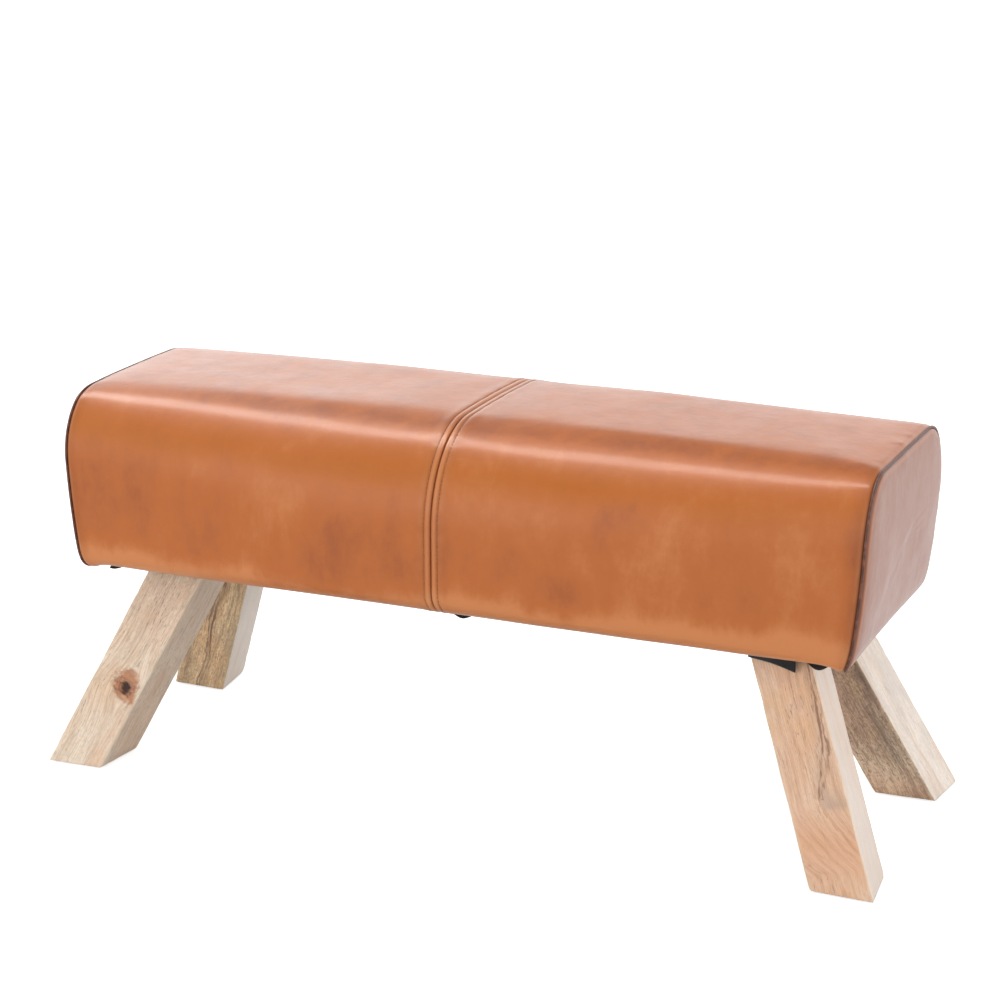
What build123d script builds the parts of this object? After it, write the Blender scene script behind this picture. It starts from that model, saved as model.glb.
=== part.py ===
from build123d import *
from functools import cache
from math import atan, cos
import os

# Leather bench in the shape of a gym horse: an upholstered block on four splayed square wooden legs.
#
# Frame: +Z up, +X along the bench, -Y is the front. The origin is on the floor under the bench's centre.
# All lengths are millimetres. build() makes every node, and export_all() writes one STEP file per node.

# ---------------------------------------------------------------- driving dimensions
GAP = 0.1  # air left between pieces that touch on the real bench

# Upholstered block: section across the bench at each end and at the middle
BLOCK_BOTTOM = 261.0
BLOCK_TOP_MIDDLE = 488.0
BLOCK_TOP_END = 481.5
END_HALF_LENGTH_BOTTOM = 495.0
END_HALF_LENGTH_TOP = 508.0
END_HALF_WIDTH = 166.0
END_TOP_CORNER = (66.0, 83.0)  # radii across and up
END_BOTTOM_CORNER = (15.0, 12.0)
MIDDLE_HALF_WIDTH = 195.0
MIDDLE_TOP_CORNER = (105.0, 117.0)
MIDDLE_BOTTOM_CORNER = (56.0, 34.0)

# Leather, piping and padding
LEATHER = 1.5
TURN_IN_EDGE_X = 462.0  # the leather folded under the block stops here
TURN_IN_EDGE_Y = 118.0
SEAM_ALLOWANCE = 12.0
TAPE_HALF_WIDTH = 15.0
TAPE_THICKNESS = 0.9
STITCH_OFFSET = 8.5
THREAD = 0.8
PIPING_RADIUS = 2.2
PIPING_CORD_RADIUS = 1.4
PIPING_TAIL = 18.0  # length of piping tucked under at each bottom corner
WADDING = 3.8

# Plywood carcass
CARCASS_HALF_LENGTH = 480.0
CARCASS_HALF_WIDTH = 138.0
CARCASS_TOP = 440.0
BASE_THICKNESS = 18.0
TOP_THICKNESS = 12.0
SIDE_THICKNESS = 12.0
END_THICKNESS = 18.0
RIB_THICKNESS = 12.0
CORNER_BLOCK = 20.0
BEARER_LENGTH = 157.0
BEARER_THICKNESS = 22.0

# Legs
LEG_SIDE = 70.0
LEG_FOOT_X = 499.0  # centre of the foot on the floor
LEG_FOOT_Y = 153.0
SPLAY_X = 0.44  # millimetres outwards per millimetre down
SPLAY_Y = 0.369
LEG_TWIST = 2.0  # degrees about the leg's own axis
LEG_EDGE_RADIUS = 2.0
PAD_THICKNESS = 2.0
PAD_INSET = 7.0

# Leg plates and their fixings
PLATE_X = 128.0
PLATE_Y = 100.0
PLATE_THICKNESS = 4.0
BOLT_OFFSET_X = 55.0
BOLT_OFFSET_Y = 38.0
BOLT_RADIUS = 4.0
BOLT_LENGTH = 50.0
BOLT_HEAD_RADIUS = 7.5
BOLT_HEAD_HEIGHT = 5.3
WASHER_RADIUS = 8.0
WASHER_THICKNESS = 1.6
TNUT_FLANGE_RADIUS = 9.0
TNUT_FLANGE_THICKNESS = 1.5
TNUT_BARREL_RADIUS = 5.0
TNUT_BARREL_LENGTH = 12.0
LEG_SCREW_LENGTH = 40.0
LEG_SCREW_RADIUS = 2.5
LEG_SCREW_SHIFT = 8.0  # the four screws sit this far outwards, where the leg is under them
LEG_SCREW_SPREAD = 20.0

# Carcass screws, staples and dust cover
WOOD_SCREW_LENGTH = 40.0
WOOD_SCREW_RADIUS = 2.0
STAPLE_WIDTH = 10.0
STAPLE_WIRE = 0.7
STAPLE_LEG = 8.0
COVER_STAPLE_MARGIN = 4.5  # staples stand this far outside the leather's inner edge
DUST_STAPLE_MARGIN = 3.0  # and this far inside the dust cover's edge
STAPLE_PITCH = 60.0
DUST_COVER = 0.8
DUST_HALF_LENGTH = 474.0
DUST_HALF_WIDTH = 130.0
DUST_OPENING_MARGIN = 4.0
FLAP_WIDTH = 52.0  # loose corner of the dust cover that hangs by the front right leg
FLAP_DROP = 26.0

# ---------------------------------------------------------------- derived heights and places
BASE_UNDERSIDE = BLOCK_BOTTOM + LEATHER + GAP
BASE_TOP = BASE_UNDERSIDE + BASE_THICKNESS
BEARER_TOP = BASE_TOP + BEARER_THICKNESS
TOP_BOARD_UNDERSIDE = CARCASS_TOP - TOP_THICKNESS
PLATE_UNDERSIDE = BASE_UNDERSIDE - PLATE_THICKNESS
LEATHER_UNDERSIDE = BLOCK_BOTTOM
STAPLE_UNDERSIDE = LEATHER_UNDERSIDE - STAPLE_WIRE
DUST_TOP = STAPLE_UNDERSIDE - GAP
DUST_UNDERSIDE = DUST_TOP - DUST_COVER
LEG_TOP_X = LEG_FOOT_X - SPLAY_X * PLATE_UNDERSIDE
LEG_TOP_Y = LEG_FOOT_Y - SPLAY_Y * PLATE_UNDERSIDE
INNER_HALF_WIDTH = CARCASS_HALF_WIDTH - SIDE_THICKNESS
INNER_HALF_LENGTH = CARCASS_HALF_LENGTH - END_THICKNESS
WADDING_OUTER = LEATHER + GAP  # insets from the block's outer surface
FOAM_OUTER = WADDING_OUTER + WADDING + GAP
BLOCK_HEIGHT_END = BLOCK_TOP_END - BLOCK_BOTTOM
END_LEAN = atan((END_HALF_LENGTH_TOP - END_HALF_LENGTH_BOTTOM) / BLOCK_HEIGHT_END)
FAR = 1200.0  # larger than the bench, for cutting boxes

SIDES = {"left": -1, "right": 1}
FACES = {"front": -1, "back": 1}
CORNERS = [(f"{face}_{side}", sx, sy) for face, sy in FACES.items() for side, sx in SIDES.items()]


def group(solids):
    """One node made of separate solids."""
    return Compound(children=list(solids))


def block(x_low, x_high, y_low, y_high, z_low, z_high):
    """A box from its six limits."""
    size = (x_high - x_low, y_high - y_low, z_high - z_low)
    centre = ((x_high + x_low) / 2, (y_high + y_low) / 2, (z_high + z_low) / 2)
    return Pos(*centre) * Box(*size)


# ---------------------------------------------------------------- the upholstered block
def section_edges(half_width, height, top_corner, bottom_corner, inset):
    """Rounded outline in local coordinates: u across, v up from the block's underside.

    The edges run from the underside's middle up one side, over the top and down the other.
    """
    half_width = half_width - inset
    low, high = inset, height - inset
    top_u, top_v = (radius - inset for radius in top_corner)
    bottom_u, bottom_v = (max(radius - inset, 1.0) for radius in bottom_corner)
    shoulder = half_width - top_u
    foot = half_width - bottom_u
    return [
        Line((0, low), (foot, low)),
        EllipticalCenterArc((foot, low + bottom_v), bottom_u, bottom_v, -90, arc_size=90),
        Line((half_width, low + bottom_v), (half_width, high - top_v)),
        EllipticalCenterArc((shoulder, high - top_v), top_u, top_v, 0, arc_size=90),
        Line((shoulder, high), (-shoulder, high)),
        EllipticalCenterArc((-shoulder, high - top_v), top_u, top_v, 90, arc_size=90),
        Line((-half_width, high - top_v), (-half_width, low + bottom_v)),
        EllipticalCenterArc((-foot, low + bottom_v), bottom_u, bottom_v, 180, arc_size=90),
        Line((-foot, low), (0, low)),
    ]


def end_plane(side, inset):
    """The leaning plane of one end of the block: local x runs across, local y runs up."""
    x = side * (END_HALF_LENGTH_BOTTOM - inset)
    lean = Vector(side * (END_HALF_LENGTH_TOP - END_HALF_LENGTH_BOTTOM), 0, BLOCK_HEIGHT_END)
    across = Vector(0, 1, 0)
    return Plane(origin=(x, 0, BLOCK_BOTTOM), x_dir=across, z_dir=across.cross(lean))


def end_outline(side, inset):
    """The block's outline in the leaning plane of one end."""
    height = BLOCK_HEIGHT_END / cos(END_LEAN)
    edges = section_edges(END_HALF_WIDTH, height, END_TOP_CORNER, END_BOTTOM_CORNER, inset)
    return [end_plane(side, inset) * edge for edge in edges]


def middle_outline(inset):
    """The block's outline across the middle of the bench."""
    height = BLOCK_TOP_MIDDLE - BLOCK_BOTTOM
    edges = section_edges(MIDDLE_HALF_WIDTH, height, MIDDLE_TOP_CORNER, MIDDLE_BOTTOM_CORNER, inset)
    plane = Plane(origin=(0, 0, BLOCK_BOTTOM), x_dir=(0, 1, 0), z_dir=(1, 0, 0))
    return [plane * edge for edge in edges]


@cache
def body(inset):
    """The block's solid, with every surface moved inwards by inset."""
    outlines = [end_outline(-1, inset), middle_outline(inset), end_outline(1, inset)]
    return loft([make_face(outline).face() for outline in outlines])


def beyond_end(side, inset):
    """Everything outside the leaning end plane, moved inwards by inset."""
    return extrude(end_plane(side, inset) * Rectangle(FAR, FAR), side * FAR / 4)


def turn_in_window():
    """The open middle of the underside, where the leather stops."""
    x, y = TURN_IN_EDGE_X, TURN_IN_EDGE_Y
    return block(-x, x, -y, y, BLOCK_BOTTOM - 1, BASE_UNDERSIDE)


def leather_shell():
    """All the leather as one closed skin, folded under the block but open in the middle."""
    return body(0) - body(LEATHER) - turn_in_window()


def end_zone(side, grow):
    """The part of the skin that belongs to an end panel: the end itself and its tail under the block."""
    outside = beyond_end(side, LEATHER + grow)
    inner, outer = TURN_IN_EDGE_X - grow, END_HALF_LENGTH_BOTTOM
    x_low, x_high = sorted((side * inner, side * outer))
    y = TURN_IN_EDGE_Y + grow
    tail = block(x_low, x_high, -y, y, BLOCK_BOTTOM - 1, BASE_UNDERSIDE)
    return outside + tail


def carcass_space():
    """The box that the plywood carcass fills, with a little air."""
    x, y = CARCASS_HALF_LENGTH + GAP, CARCASS_HALF_WIDTH + GAP
    return block(-x, x, -y, y, BASE_UNDERSIDE - GAP, CARCASS_TOP + GAP)


def band(half_width, outer_inset, inner_inset):
    """A strip that runs round the block at the middle seam, between two depths."""
    slab = block(-half_width, half_width, -FAR, FAR, 0, FAR)
    return (body(outer_inset) - body(inner_inset)) & slab


def piping_tube(side, radius):
    """A round cord along the edge of an end, from one bottom corner over the top to the other."""
    depth = LEATHER - GAP
    edges = end_outline(side, depth)[1:-1]
    foot = END_HALF_WIDTH - END_BOTTOM_CORNER[0]
    plane = end_plane(side, depth)
    first_tail = plane * Line((foot - PIPING_TAIL, depth), (foot, depth))
    last_tail = plane * Line((-foot, depth), (PIPING_TAIL - foot, depth))
    path = Wire([first_tail, *edges, last_tail])
    return sweep(Plane(origin=path @ 0, z_dir=path % 0) * Circle(radius), path=path)


def piping_space():
    """Room for both pipings."""
    return piping_tube(-1, PIPING_RADIUS + GAP) + piping_tube(1, PIPING_RADIUS + GAP)


def cover(side, shell, holes):
    """One of the two wraps that meet at the middle seam, with its edge folded back at the seam."""
    skin = shell - end_zone(-1, GAP) - end_zone(1, GAP)
    allowance = band(SEAM_ALLOWANCE, LEATHER, 2 * LEATHER) - carcass_space()
    x_low, x_high = sorted((side * GAP / 2, side * FAR))
    half = block(x_low, x_high, -FAR, FAR, 0, FAR)
    return ((skin + allowance) & half) - piping_space() - holes


def end_panel(side, shell, holes):
    """The flat leather panel at one end."""
    return (shell & end_zone(side, 0)) - piping_space() - holes


def piping_sleeve(side):
    """Dark leather rolled round the piping cord."""
    return piping_tube(side, PIPING_RADIUS) - piping_tube(side, PIPING_CORD_RADIUS + GAP)


def seam_tape():
    """Cotton tape sewn behind the middle seam."""
    outer = 2 * LEATHER + GAP
    return band(TAPE_HALF_WIDTH, outer, outer + TAPE_THICKNESS) - carcass_space()


def seam_thread():
    """The two rows of topstitching beside the middle seam."""
    below = block(-FAR, FAR, -FAR, FAR, 0, BLOCK_BOTTOM)
    ring = body(-GAP - THREAD) - body(-GAP) - below
    rows = []
    for side in SIDES.values():
        centre = side * STITCH_OFFSET
        slice_box = block(centre - THREAD / 2, centre + THREAD / 2, -FAR, FAR, 0, FAR)
        rows.append((ring & slice_box).solid())
    return group(rows)


def wadding_wrap():
    """Polyester wadding between the leather and the foam, thinned where the seam is bulky."""
    tape_depth = 2 * LEATHER + TAPE_THICKNESS + 2 * GAP
    x = TAPE_HALF_WIDTH + GAP
    seam_room = block(-x, x, -FAR, FAR, 0, FAR) - body(tape_depth)
    wrap = body(WADDING_OUTER) - body(WADDING_OUTER + WADDING)
    return wrap - carcass_space() - seam_room - piping_space()


def foam_pieces():
    """The five foam slabs glued round the carcass."""
    core = body(FOAM_OUTER)
    x, y = CARCASS_HALF_LENGTH + GAP, CARCASS_HALF_WIDTH + GAP
    pieces = {"foam_top": core & block(-FAR, FAR, -FAR, FAR, CARCASS_TOP + GAP, FAR)}
    for name, sign in FACES.items():
        y_low, y_high = sorted((sign * y, sign * FAR))
        pieces[f"foam_{name}"] = core & block(-FAR, FAR, y_low, y_high, 0, CARCASS_TOP)
    for name, sign in SIDES.items():
        x_low, x_high = sorted((sign * x, sign * FAR))
        pieces[f"foam_end_{name}"] = core & block(x_low, x_high, GAP - y, y - GAP, 0, CARCASS_TOP)
    return pieces


# ---------------------------------------------------------------- fasteners
def screw(radius, length, grow=0.0):
    """A countersunk wood screw: its flat head's top is at the origin and it points along -Z."""
    head_radius, head_height = 2 * radius, radius
    tip = 2 * radius
    rim = [(head_radius + grow, grow), (head_radius + grow, -grow)] if grow else [(head_radius, 0)]
    outline = Polyline(
        (0, grow),
        *rim,
        (radius + grow, -head_height - grow),
        (radius + grow, tip - length),
        (0, -length - grow),
        close=True,
    )
    return revolve(Plane.XZ * make_face(outline), Axis.Z)


def staple(length_along, grow=0.0):
    """A staple whose crown is below the origin and whose legs point up along +Z.

    length_along is the direction of its crown, "x" or "y".
    """
    wide, wire = STAPLE_WIDTH + 2 * grow, STAPLE_WIRE + 2 * grow
    crown = block(-wide / 2, wide / 2, -wire / 2, wire / 2, -STAPLE_WIRE - grow, grow)
    left = block(-wide / 2, wire - wide / 2, -wire / 2, wire / 2, 0, STAPLE_LEG + grow)
    right = block(wide / 2 - wire, wide / 2, -wire / 2, wire / 2, 0, STAPLE_LEG + grow)
    whole = crown + left + right
    return whole if length_along == "x" else Rot(0, 0, 90) * whole


def staple_places(x_edge, y_edge, first):
    """Places round a rectangle's edge, as (x, y, crown direction), a pitch apart from first."""
    places = []
    for sign in (-1, 1):
        steps = int((x_edge - STAPLE_PITCH / 2 - first) // STAPLE_PITCH)
        for step in range(-steps - 1 if first else -steps, steps + 1):
            places.append((first + step * STAPLE_PITCH, sign * y_edge, "x"))
        for step in (-1, 0, 1):
            places.append((sign * x_edge, step * STAPLE_PITCH, "y"))
    return places


COVER_STAPLES = staple_places(
    TURN_IN_EDGE_X + COVER_STAPLE_MARGIN, TURN_IN_EDGE_Y + COVER_STAPLE_MARGIN, 0
)
DUST_STAPLES = staple_places(
    DUST_HALF_LENGTH - DUST_STAPLE_MARGIN, DUST_HALF_WIDTH - DUST_STAPLE_MARGIN, STAPLE_PITCH / 2
)


def staples(places, height, grow=0.0):
    """Staples driven up into the base board at the given places."""
    return [Pos(x, y, height) * staple(along, grow) for x, y, along in places]


def staple_holes():
    """Room for every staple, as one shape to cut with."""
    cover_row = staples(COVER_STAPLES, LEATHER_UNDERSIDE, GAP / 2)
    return group(cover_row + staples(DUST_STAPLES, DUST_UNDERSIDE, GAP / 2))


def carcass_screw_places():
    """Where each carcass screw's head is, as locations whose -Z is the driving direction."""
    side_centre = CARCASS_HALF_WIDTH - SIDE_THICKNESS / 2
    end_centre = CARCASS_HALF_LENGTH - END_THICKNESS / 2
    places = []
    for sx in SIDES.values():
        for sy in FACES.values():
            for z in (315, 355, 395):
                places.append(Location((sx * end_centre, sy * CARCASS_HALF_WIDTH, z), (-sy * 90, 0, 0)))
            places.append(Location((sx * end_centre, sy * 62, CARCASS_TOP)))
            places.append(Location((sx * end_centre, sy * 74, BASE_UNDERSIDE), (180, 0, 0)))
            for x in (120, 360):
                places.append(Location((sx * x, sy * side_centre, CARCASS_TOP)))
            for x in (90, 250, 410):
                places.append(Location((sx * x, sy * side_centre, BASE_UNDERSIDE), (180, 0, 0)))
            bearer_inner = INNER_HALF_LENGTH - BEARER_LENGTH
            places.append(Location((sx * (bearer_inner + 8), sy * 60, BASE_UNDERSIDE), (180, 0, 0)))
    return places


def carcass_screws(grow=0.0):
    """All the wood screws that hold the carcass together."""
    one = screw(WOOD_SCREW_RADIUS, WOOD_SCREW_LENGTH, grow)
    return group([place * one for place in carcass_screw_places()])


def bolt_places():
    """Centres of the sixteen leg plate bolts."""
    places = []
    for _, sx, sy in CORNERS:
        for along in (-BOLT_OFFSET_X, BOLT_OFFSET_X):
            for across in (-BOLT_OFFSET_Y, BOLT_OFFSET_Y):
                places.append((sx * (LEG_TOP_X + along), sy * (LEG_TOP_Y + across)))
    return places


def leg_plate_bolts():
    """Hexagon head bolts, put in from below."""
    head_top = PLATE_UNDERSIDE - WASHER_THICKNESS
    hexagon = extrude(RegularPolygon(BOLT_HEAD_RADIUS, 6), -BOLT_HEAD_HEIGHT)
    crown_radius = 0.84 * BOLT_HEAD_RADIUS
    trim = Pos(0, 0, -BOLT_HEAD_HEIGHT / 2) * Cone(crown_radius, 1.9 * crown_radius, BOLT_HEAD_HEIGHT)
    shank = Pos(0, 0, BOLT_LENGTH / 2) * Cylinder(BOLT_RADIUS, BOLT_LENGTH)
    one = (hexagon & trim) + shank
    return group([Pos(x, y, head_top) * one for x, y in bolt_places()])


def washers():
    """Plain washers between the bolt heads and the leg plates."""
    ring = Cylinder(WASHER_RADIUS, WASHER_THICKNESS) - Cylinder(BOLT_RADIUS + 0.2, WASHER_THICKNESS)
    height = PLATE_UNDERSIDE - WASHER_THICKNESS / 2
    return group([Pos(x, y, height) * ring for x, y in bolt_places()])


def t_nut():
    """A flanged nut: the underside of its flange is at the origin and its barrel points down."""
    flange = Pos(0, 0, TNUT_FLANGE_THICKNESS / 2) * Cylinder(TNUT_FLANGE_RADIUS, TNUT_FLANGE_THICKNESS)
    barrel = Pos(0, 0, -TNUT_BARREL_LENGTH / 2) * Cylinder(TNUT_BARREL_RADIUS, TNUT_BARREL_LENGTH)
    return flange + barrel - Cylinder(BOLT_RADIUS + 0.05, 4 * TNUT_BARREL_LENGTH)


def t_nuts():
    """The nuts that the leg plate bolts screw into, on top of the bearers."""
    return group([Pos(x, y, BEARER_TOP + GAP) * t_nut() for x, y in bolt_places()])


def bolt_holes(radius):
    """Clearance holes for the leg plate bolts, through everything between floor and bearer top."""
    drill = Pos(0, 0, BASE_TOP) * Cylinder(radius, 4 * BOLT_LENGTH)
    return group([Pos(x, y, 0) * drill for x, y in bolt_places()])


def leg_screw_places():
    """Heads of the sixteen screws that hold the plates on the legs."""
    places = []
    for _, sx, sy in CORNERS:
        for along in (-LEG_SCREW_SPREAD, LEG_SCREW_SPREAD):
            for across in (-LEG_SCREW_SPREAD, LEG_SCREW_SPREAD):
                x = LEG_TOP_X + LEG_SCREW_SHIFT + along
                y = LEG_TOP_Y + LEG_SCREW_SHIFT + across
                places.append((sx * x, sy * y, BASE_UNDERSIDE))
    return places


def leg_screws(grow=0.0):
    """Countersunk screws driven down through the plates into the legs."""
    one = screw(LEG_SCREW_RADIUS, LEG_SCREW_LENGTH, grow)
    return group([Pos(*place) * one for place in leg_screw_places()])


# ---------------------------------------------------------------- carcass boards
def carcass_boards():
    """The plywood boards and pine blocks that the padding is built on."""
    x, y = CARCASS_HALF_LENGTH, CARCASS_HALF_WIDTH
    inner_x, inner_y = INNER_HALF_LENGTH - GAP, INNER_HALF_WIDTH - GAP
    wall_low, wall_high = BASE_TOP + GAP, TOP_BOARD_UNDERSIDE - GAP
    screws = carcass_screws(GAP / 2)
    bolts = bolt_holes(BOLT_RADIUS + 0.5)
    tnut_seat = Cylinder(TNUT_BARREL_RADIUS + GAP, 2 * (TNUT_BARREL_LENGTH + GAP))
    tnut_seats = group([Pos(bx, by, BEARER_TOP) * tnut_seat for bx, by in bolt_places()])
    boards = {
        "base_board": block(-x, x, -y, y, BASE_UNDERSIDE, BASE_TOP) - bolts - staple_holes() - screws,
        "top_board": block(-x, x, -y, y, TOP_BOARD_UNDERSIDE, CARCASS_TOP) - screws,
        "centre_rib": block(
            -RIB_THICKNESS / 2, RIB_THICKNESS / 2, -inner_y, inner_y, wall_low, wall_high
        ),
    }
    for name, sy in FACES.items():
        y_low, y_high = sorted((sy * INNER_HALF_WIDTH, sy * y))
        boards[f"side_board_{name}"] = block(-x, x, y_low, y_high, wall_low, wall_high) - screws
    for name, sx in SIDES.items():
        x_low, x_high = sorted((sx * INNER_HALF_LENGTH, sx * x))
        boards[f"end_board_{name}"] = block(x_low, x_high, -inner_y, inner_y, wall_low, wall_high) - screws
        x_low, x_high = sorted((sx * (inner_x - BEARER_LENGTH), sx * inner_x))
        bearer = block(x_low, x_high, -inner_y, inner_y, wall_low, BEARER_TOP)
        boards[f"bearer_{name}"] = bearer - bolts - tnut_seats - screws
    corner_blocks = []
    for _, sx, sy in CORNERS:
        x_low, x_high = sorted((sx * (inner_x - CORNER_BLOCK), sx * inner_x))
        y_low, y_high = sorted((sy * (inner_y - CORNER_BLOCK), sy * inner_y))
        corner_blocks.append(block(x_low, x_high, y_low, y_high, BEARER_TOP + GAP, wall_high))
    boards["corner_blocks"] = group(corner_blocks)
    return boards


# ---------------------------------------------------------------- legs
def leg_plane():
    """The plane square to the back right leg at the middle of its foot."""
    along = Vector(-SPLAY_X, -SPLAY_Y, 1).normalized()
    across = Vector(1, 0, 0) - along * along.X
    plane = Plane(origin=(LEG_FOOT_X, LEG_FOOT_Y, 0), x_dir=across, z_dir=along)
    return plane.rotated((0, 0, LEG_TWIST))


def leg_bar(side_length, edge_radius):
    """A long square bar on the back right leg's axis."""
    bar = Box(side_length, side_length, FAR)
    if edge_radius:
        bar = fillet(bar.edges().filter_by(Axis.Z), edge_radius)
    return leg_plane() * bar


def to_corner(shape, sx, sy):
    """Mirrors a shape made for the back right corner to another corner."""
    if sx < 0:
        shape = mirror(shape, about=Plane.YZ)
    if sy < 0:
        shape = mirror(shape, about=Plane.XZ)
    return shape


def legs():
    """Four splayed legs, cut level at the floor pads and at the plates."""
    span = block(0, FAR, -FAR, FAR, PAD_THICKNESS, PLATE_UNDERSIDE)
    leg = leg_bar(LEG_SIDE, LEG_EDGE_RADIUS) & span
    screws = leg_screws(GAP / 2)
    return {f"leg_{name}": (to_corner(leg, sx, sy) - screws).solid() for name, sx, sy in CORNERS}


def foot_pads():
    """Four felt pads under the feet."""
    span = block(0, FAR, -FAR, FAR, 0, PAD_THICKNESS)
    pad = leg_bar(LEG_SIDE - 2 * PAD_INSET, LEG_EDGE_RADIUS) & span
    return {f"foot_pad_{name}": to_corner(pad, sx, sy) for name, sx, sy in CORNERS}


def leg_plates():
    """Four steel plates, each screwed to a leg and bolted up to the base board."""
    sheet = Rectangle(PLATE_X, PLATE_Y)
    sheet = extrude(fillet(sheet.vertices(), 6), PLATE_THICKNESS)
    holes = bolt_holes(BOLT_RADIUS + 0.5)
    screws = leg_screws(GAP / 2)
    plates = {}
    for name, sx, sy in CORNERS:
        place = Pos(sx * LEG_TOP_X, sy * LEG_TOP_Y, PLATE_UNDERSIDE)
        plates[f"leg_plate_{name}"] = (place * sheet - holes - screws).solid()
    return plates


# ---------------------------------------------------------------- dust cover
def dust_cover():
    """Black cloth stapled over the underside, open round the plates, with one corner hanging loose."""
    x, y = DUST_HALF_LENGTH, DUST_HALF_WIDTH
    sheet = block(-x, x, -y, y, DUST_UNDERSIDE, DUST_TOP)
    margin = DUST_OPENING_MARGIN
    for _, sx, sy in CORNERS:
        opening = Box(PLATE_X + 2 * margin, PLATE_Y + 2 * margin, 8)
        sheet -= Pos(sx * LEG_TOP_X, sy * LEG_TOP_Y, DUST_TOP) * opening
    front_edge = -(LEG_TOP_Y + PLATE_Y / 2 + margin)
    flap = block(
        LEG_TOP_X - FLAP_WIDTH / 2,
        LEG_TOP_X + FLAP_WIDTH / 2,
        front_edge - DUST_COVER,
        front_edge,
        DUST_UNDERSIDE - FLAP_DROP,
        DUST_TOP,
    )
    return sheet + flap - staple_holes()


def build():
    """Every node by name."""
    shell = leather_shell()
    holes = staple_holes()
    nodes = {**carcass_boards(), **legs(), **foot_pads(), **leg_plates(), **foam_pieces()}
    for name, side in SIDES.items():
        nodes[f"cover_{name}"] = cover(side, shell, holes)
        nodes[f"end_panel_{name}"] = end_panel(side, shell, holes)
        nodes[f"piping_{name}"] = piping_sleeve(side)
        nodes[f"piping_cord_{name}"] = piping_tube(side, PIPING_CORD_RADIUS)
    nodes["seam_tape"] = seam_tape()
    nodes["seam_thread"] = seam_thread()
    nodes["wadding_wrap"] = wadding_wrap()
    nodes["dust_cover"] = dust_cover()
    nodes["carcass_screws"] = carcass_screws()
    nodes["leg_plate_bolts"] = leg_plate_bolts()
    nodes["leg_plate_washers"] = washers()
    nodes["t_nuts"] = t_nuts()
    nodes["leg_screws"] = leg_screws()
    nodes["cover_staples"] = group(staples(COVER_STAPLES, LEATHER_UNDERSIDE))
    nodes["dust_cover_staples"] = group(staples(DUST_STAPLES, DUST_UNDERSIDE))
    return nodes


def export_all():
    """Writes parts/NODE.step for every node."""
    os.makedirs("parts", exist_ok=True)
    for name, shape in build().items():
        export_step(shape, f"parts/{name}.step")


export_all()
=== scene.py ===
import math
from types import SimpleNamespace

import bpy
import numpy as np
from mathutils import Matrix, Vector


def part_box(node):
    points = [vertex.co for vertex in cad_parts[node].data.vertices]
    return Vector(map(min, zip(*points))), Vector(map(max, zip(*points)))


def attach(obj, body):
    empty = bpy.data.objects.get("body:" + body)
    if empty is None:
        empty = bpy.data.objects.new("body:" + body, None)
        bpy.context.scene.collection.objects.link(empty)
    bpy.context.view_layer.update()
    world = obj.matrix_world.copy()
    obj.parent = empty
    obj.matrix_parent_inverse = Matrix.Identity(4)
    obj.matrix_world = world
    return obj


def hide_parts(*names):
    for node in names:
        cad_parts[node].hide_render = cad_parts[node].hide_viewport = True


# The looks of a leather gym-horse bench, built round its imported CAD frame. All lengths are metres.
# The covers, end panels, piping with its cord, stitches, seam tape, wadding, dust cloth, legs and foot
# pads are new pieces that stand for the CAD nodes of the same places. The carcass, the foam, the plates
# and the fixings are the CAD nodes, with new materials.

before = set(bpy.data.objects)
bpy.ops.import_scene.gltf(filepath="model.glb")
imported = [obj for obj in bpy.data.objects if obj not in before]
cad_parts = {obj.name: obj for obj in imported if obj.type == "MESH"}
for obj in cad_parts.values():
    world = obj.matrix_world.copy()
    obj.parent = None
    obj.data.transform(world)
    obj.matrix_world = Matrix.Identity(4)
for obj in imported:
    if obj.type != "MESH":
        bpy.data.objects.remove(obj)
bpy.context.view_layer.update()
MM = 0.001
SIDES = {"left": -1, "right": 1}
FACES = {"front": -1, "back": 1}

# ---- Sizes
cover_low, cover_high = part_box("cover_right")
BLOCK_BOTTOM = cover_low[2]
HALF_LENGTH_TOP = cover_high[0] + 3.3 * MM
HALF_LENGTH_BOTTOM = HALF_LENGTH_TOP - 13 * MM
HALF_LENGTH_MIDDLE = (HALF_LENGTH_BOTTOM + HALF_LENGTH_TOP) / 2
TOP_MIDDLE = cover_high[2] - 2 * MM  # the padding settles a little below the CAD surface
TOP_END = TOP_MIDDLE - 6.5 * MM
CROWN = 1.5 * MM  # how much the top is rounded up between its corners
MIDDLE_HALF_WIDTH = cover_high[1]
END_HALF_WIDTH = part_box("piping_right")[1][1] - 0.8 * MM
# The block's rounded corners, each a half-width and a half-height
MIDDLE_TOP_CORNER = (105 * MM, 117 * MM)
END_TOP_CORNER = (66 * MM, 83 * MM)
MIDDLE_BOTTOM_CORNER = (56 * MM, 34 * MM)
END_BOTTOM_CORNER = (15 * MM, 12 * MM)
TURN_IN_Y = 118 * MM  # where the covers' folded edges stop under the block
LEATHER = 1.5 * MM  # thickness
WELT = 2.2 * MM  # how far the leather's edges stop short of the corner, where the piping sits
PIPING_RADIUS = 1.6 * MM
END_BOW = 4.2 * MM
LOWER_EDGE_TUCK = 9 * MM  # how far each end is drawn in at its lower edge
LOWER_CORNER_SAG = 5 * MM
UPPER_EDGE_DIP = 2.6 * MM
STITCH_ROW = 8.5 * MM
STITCH_PITCH = 5.2 * MM
STITCH_LENGTH = 3.9 * MM
THREAD_RADIUS = 0.4 * MM
ROWS = 240  # points round the block's outline
COVER_SWELL = 3.0 * MM
PANEL_SWELL = 3.2 * MM
CLOTH_STEPS = 20

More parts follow.
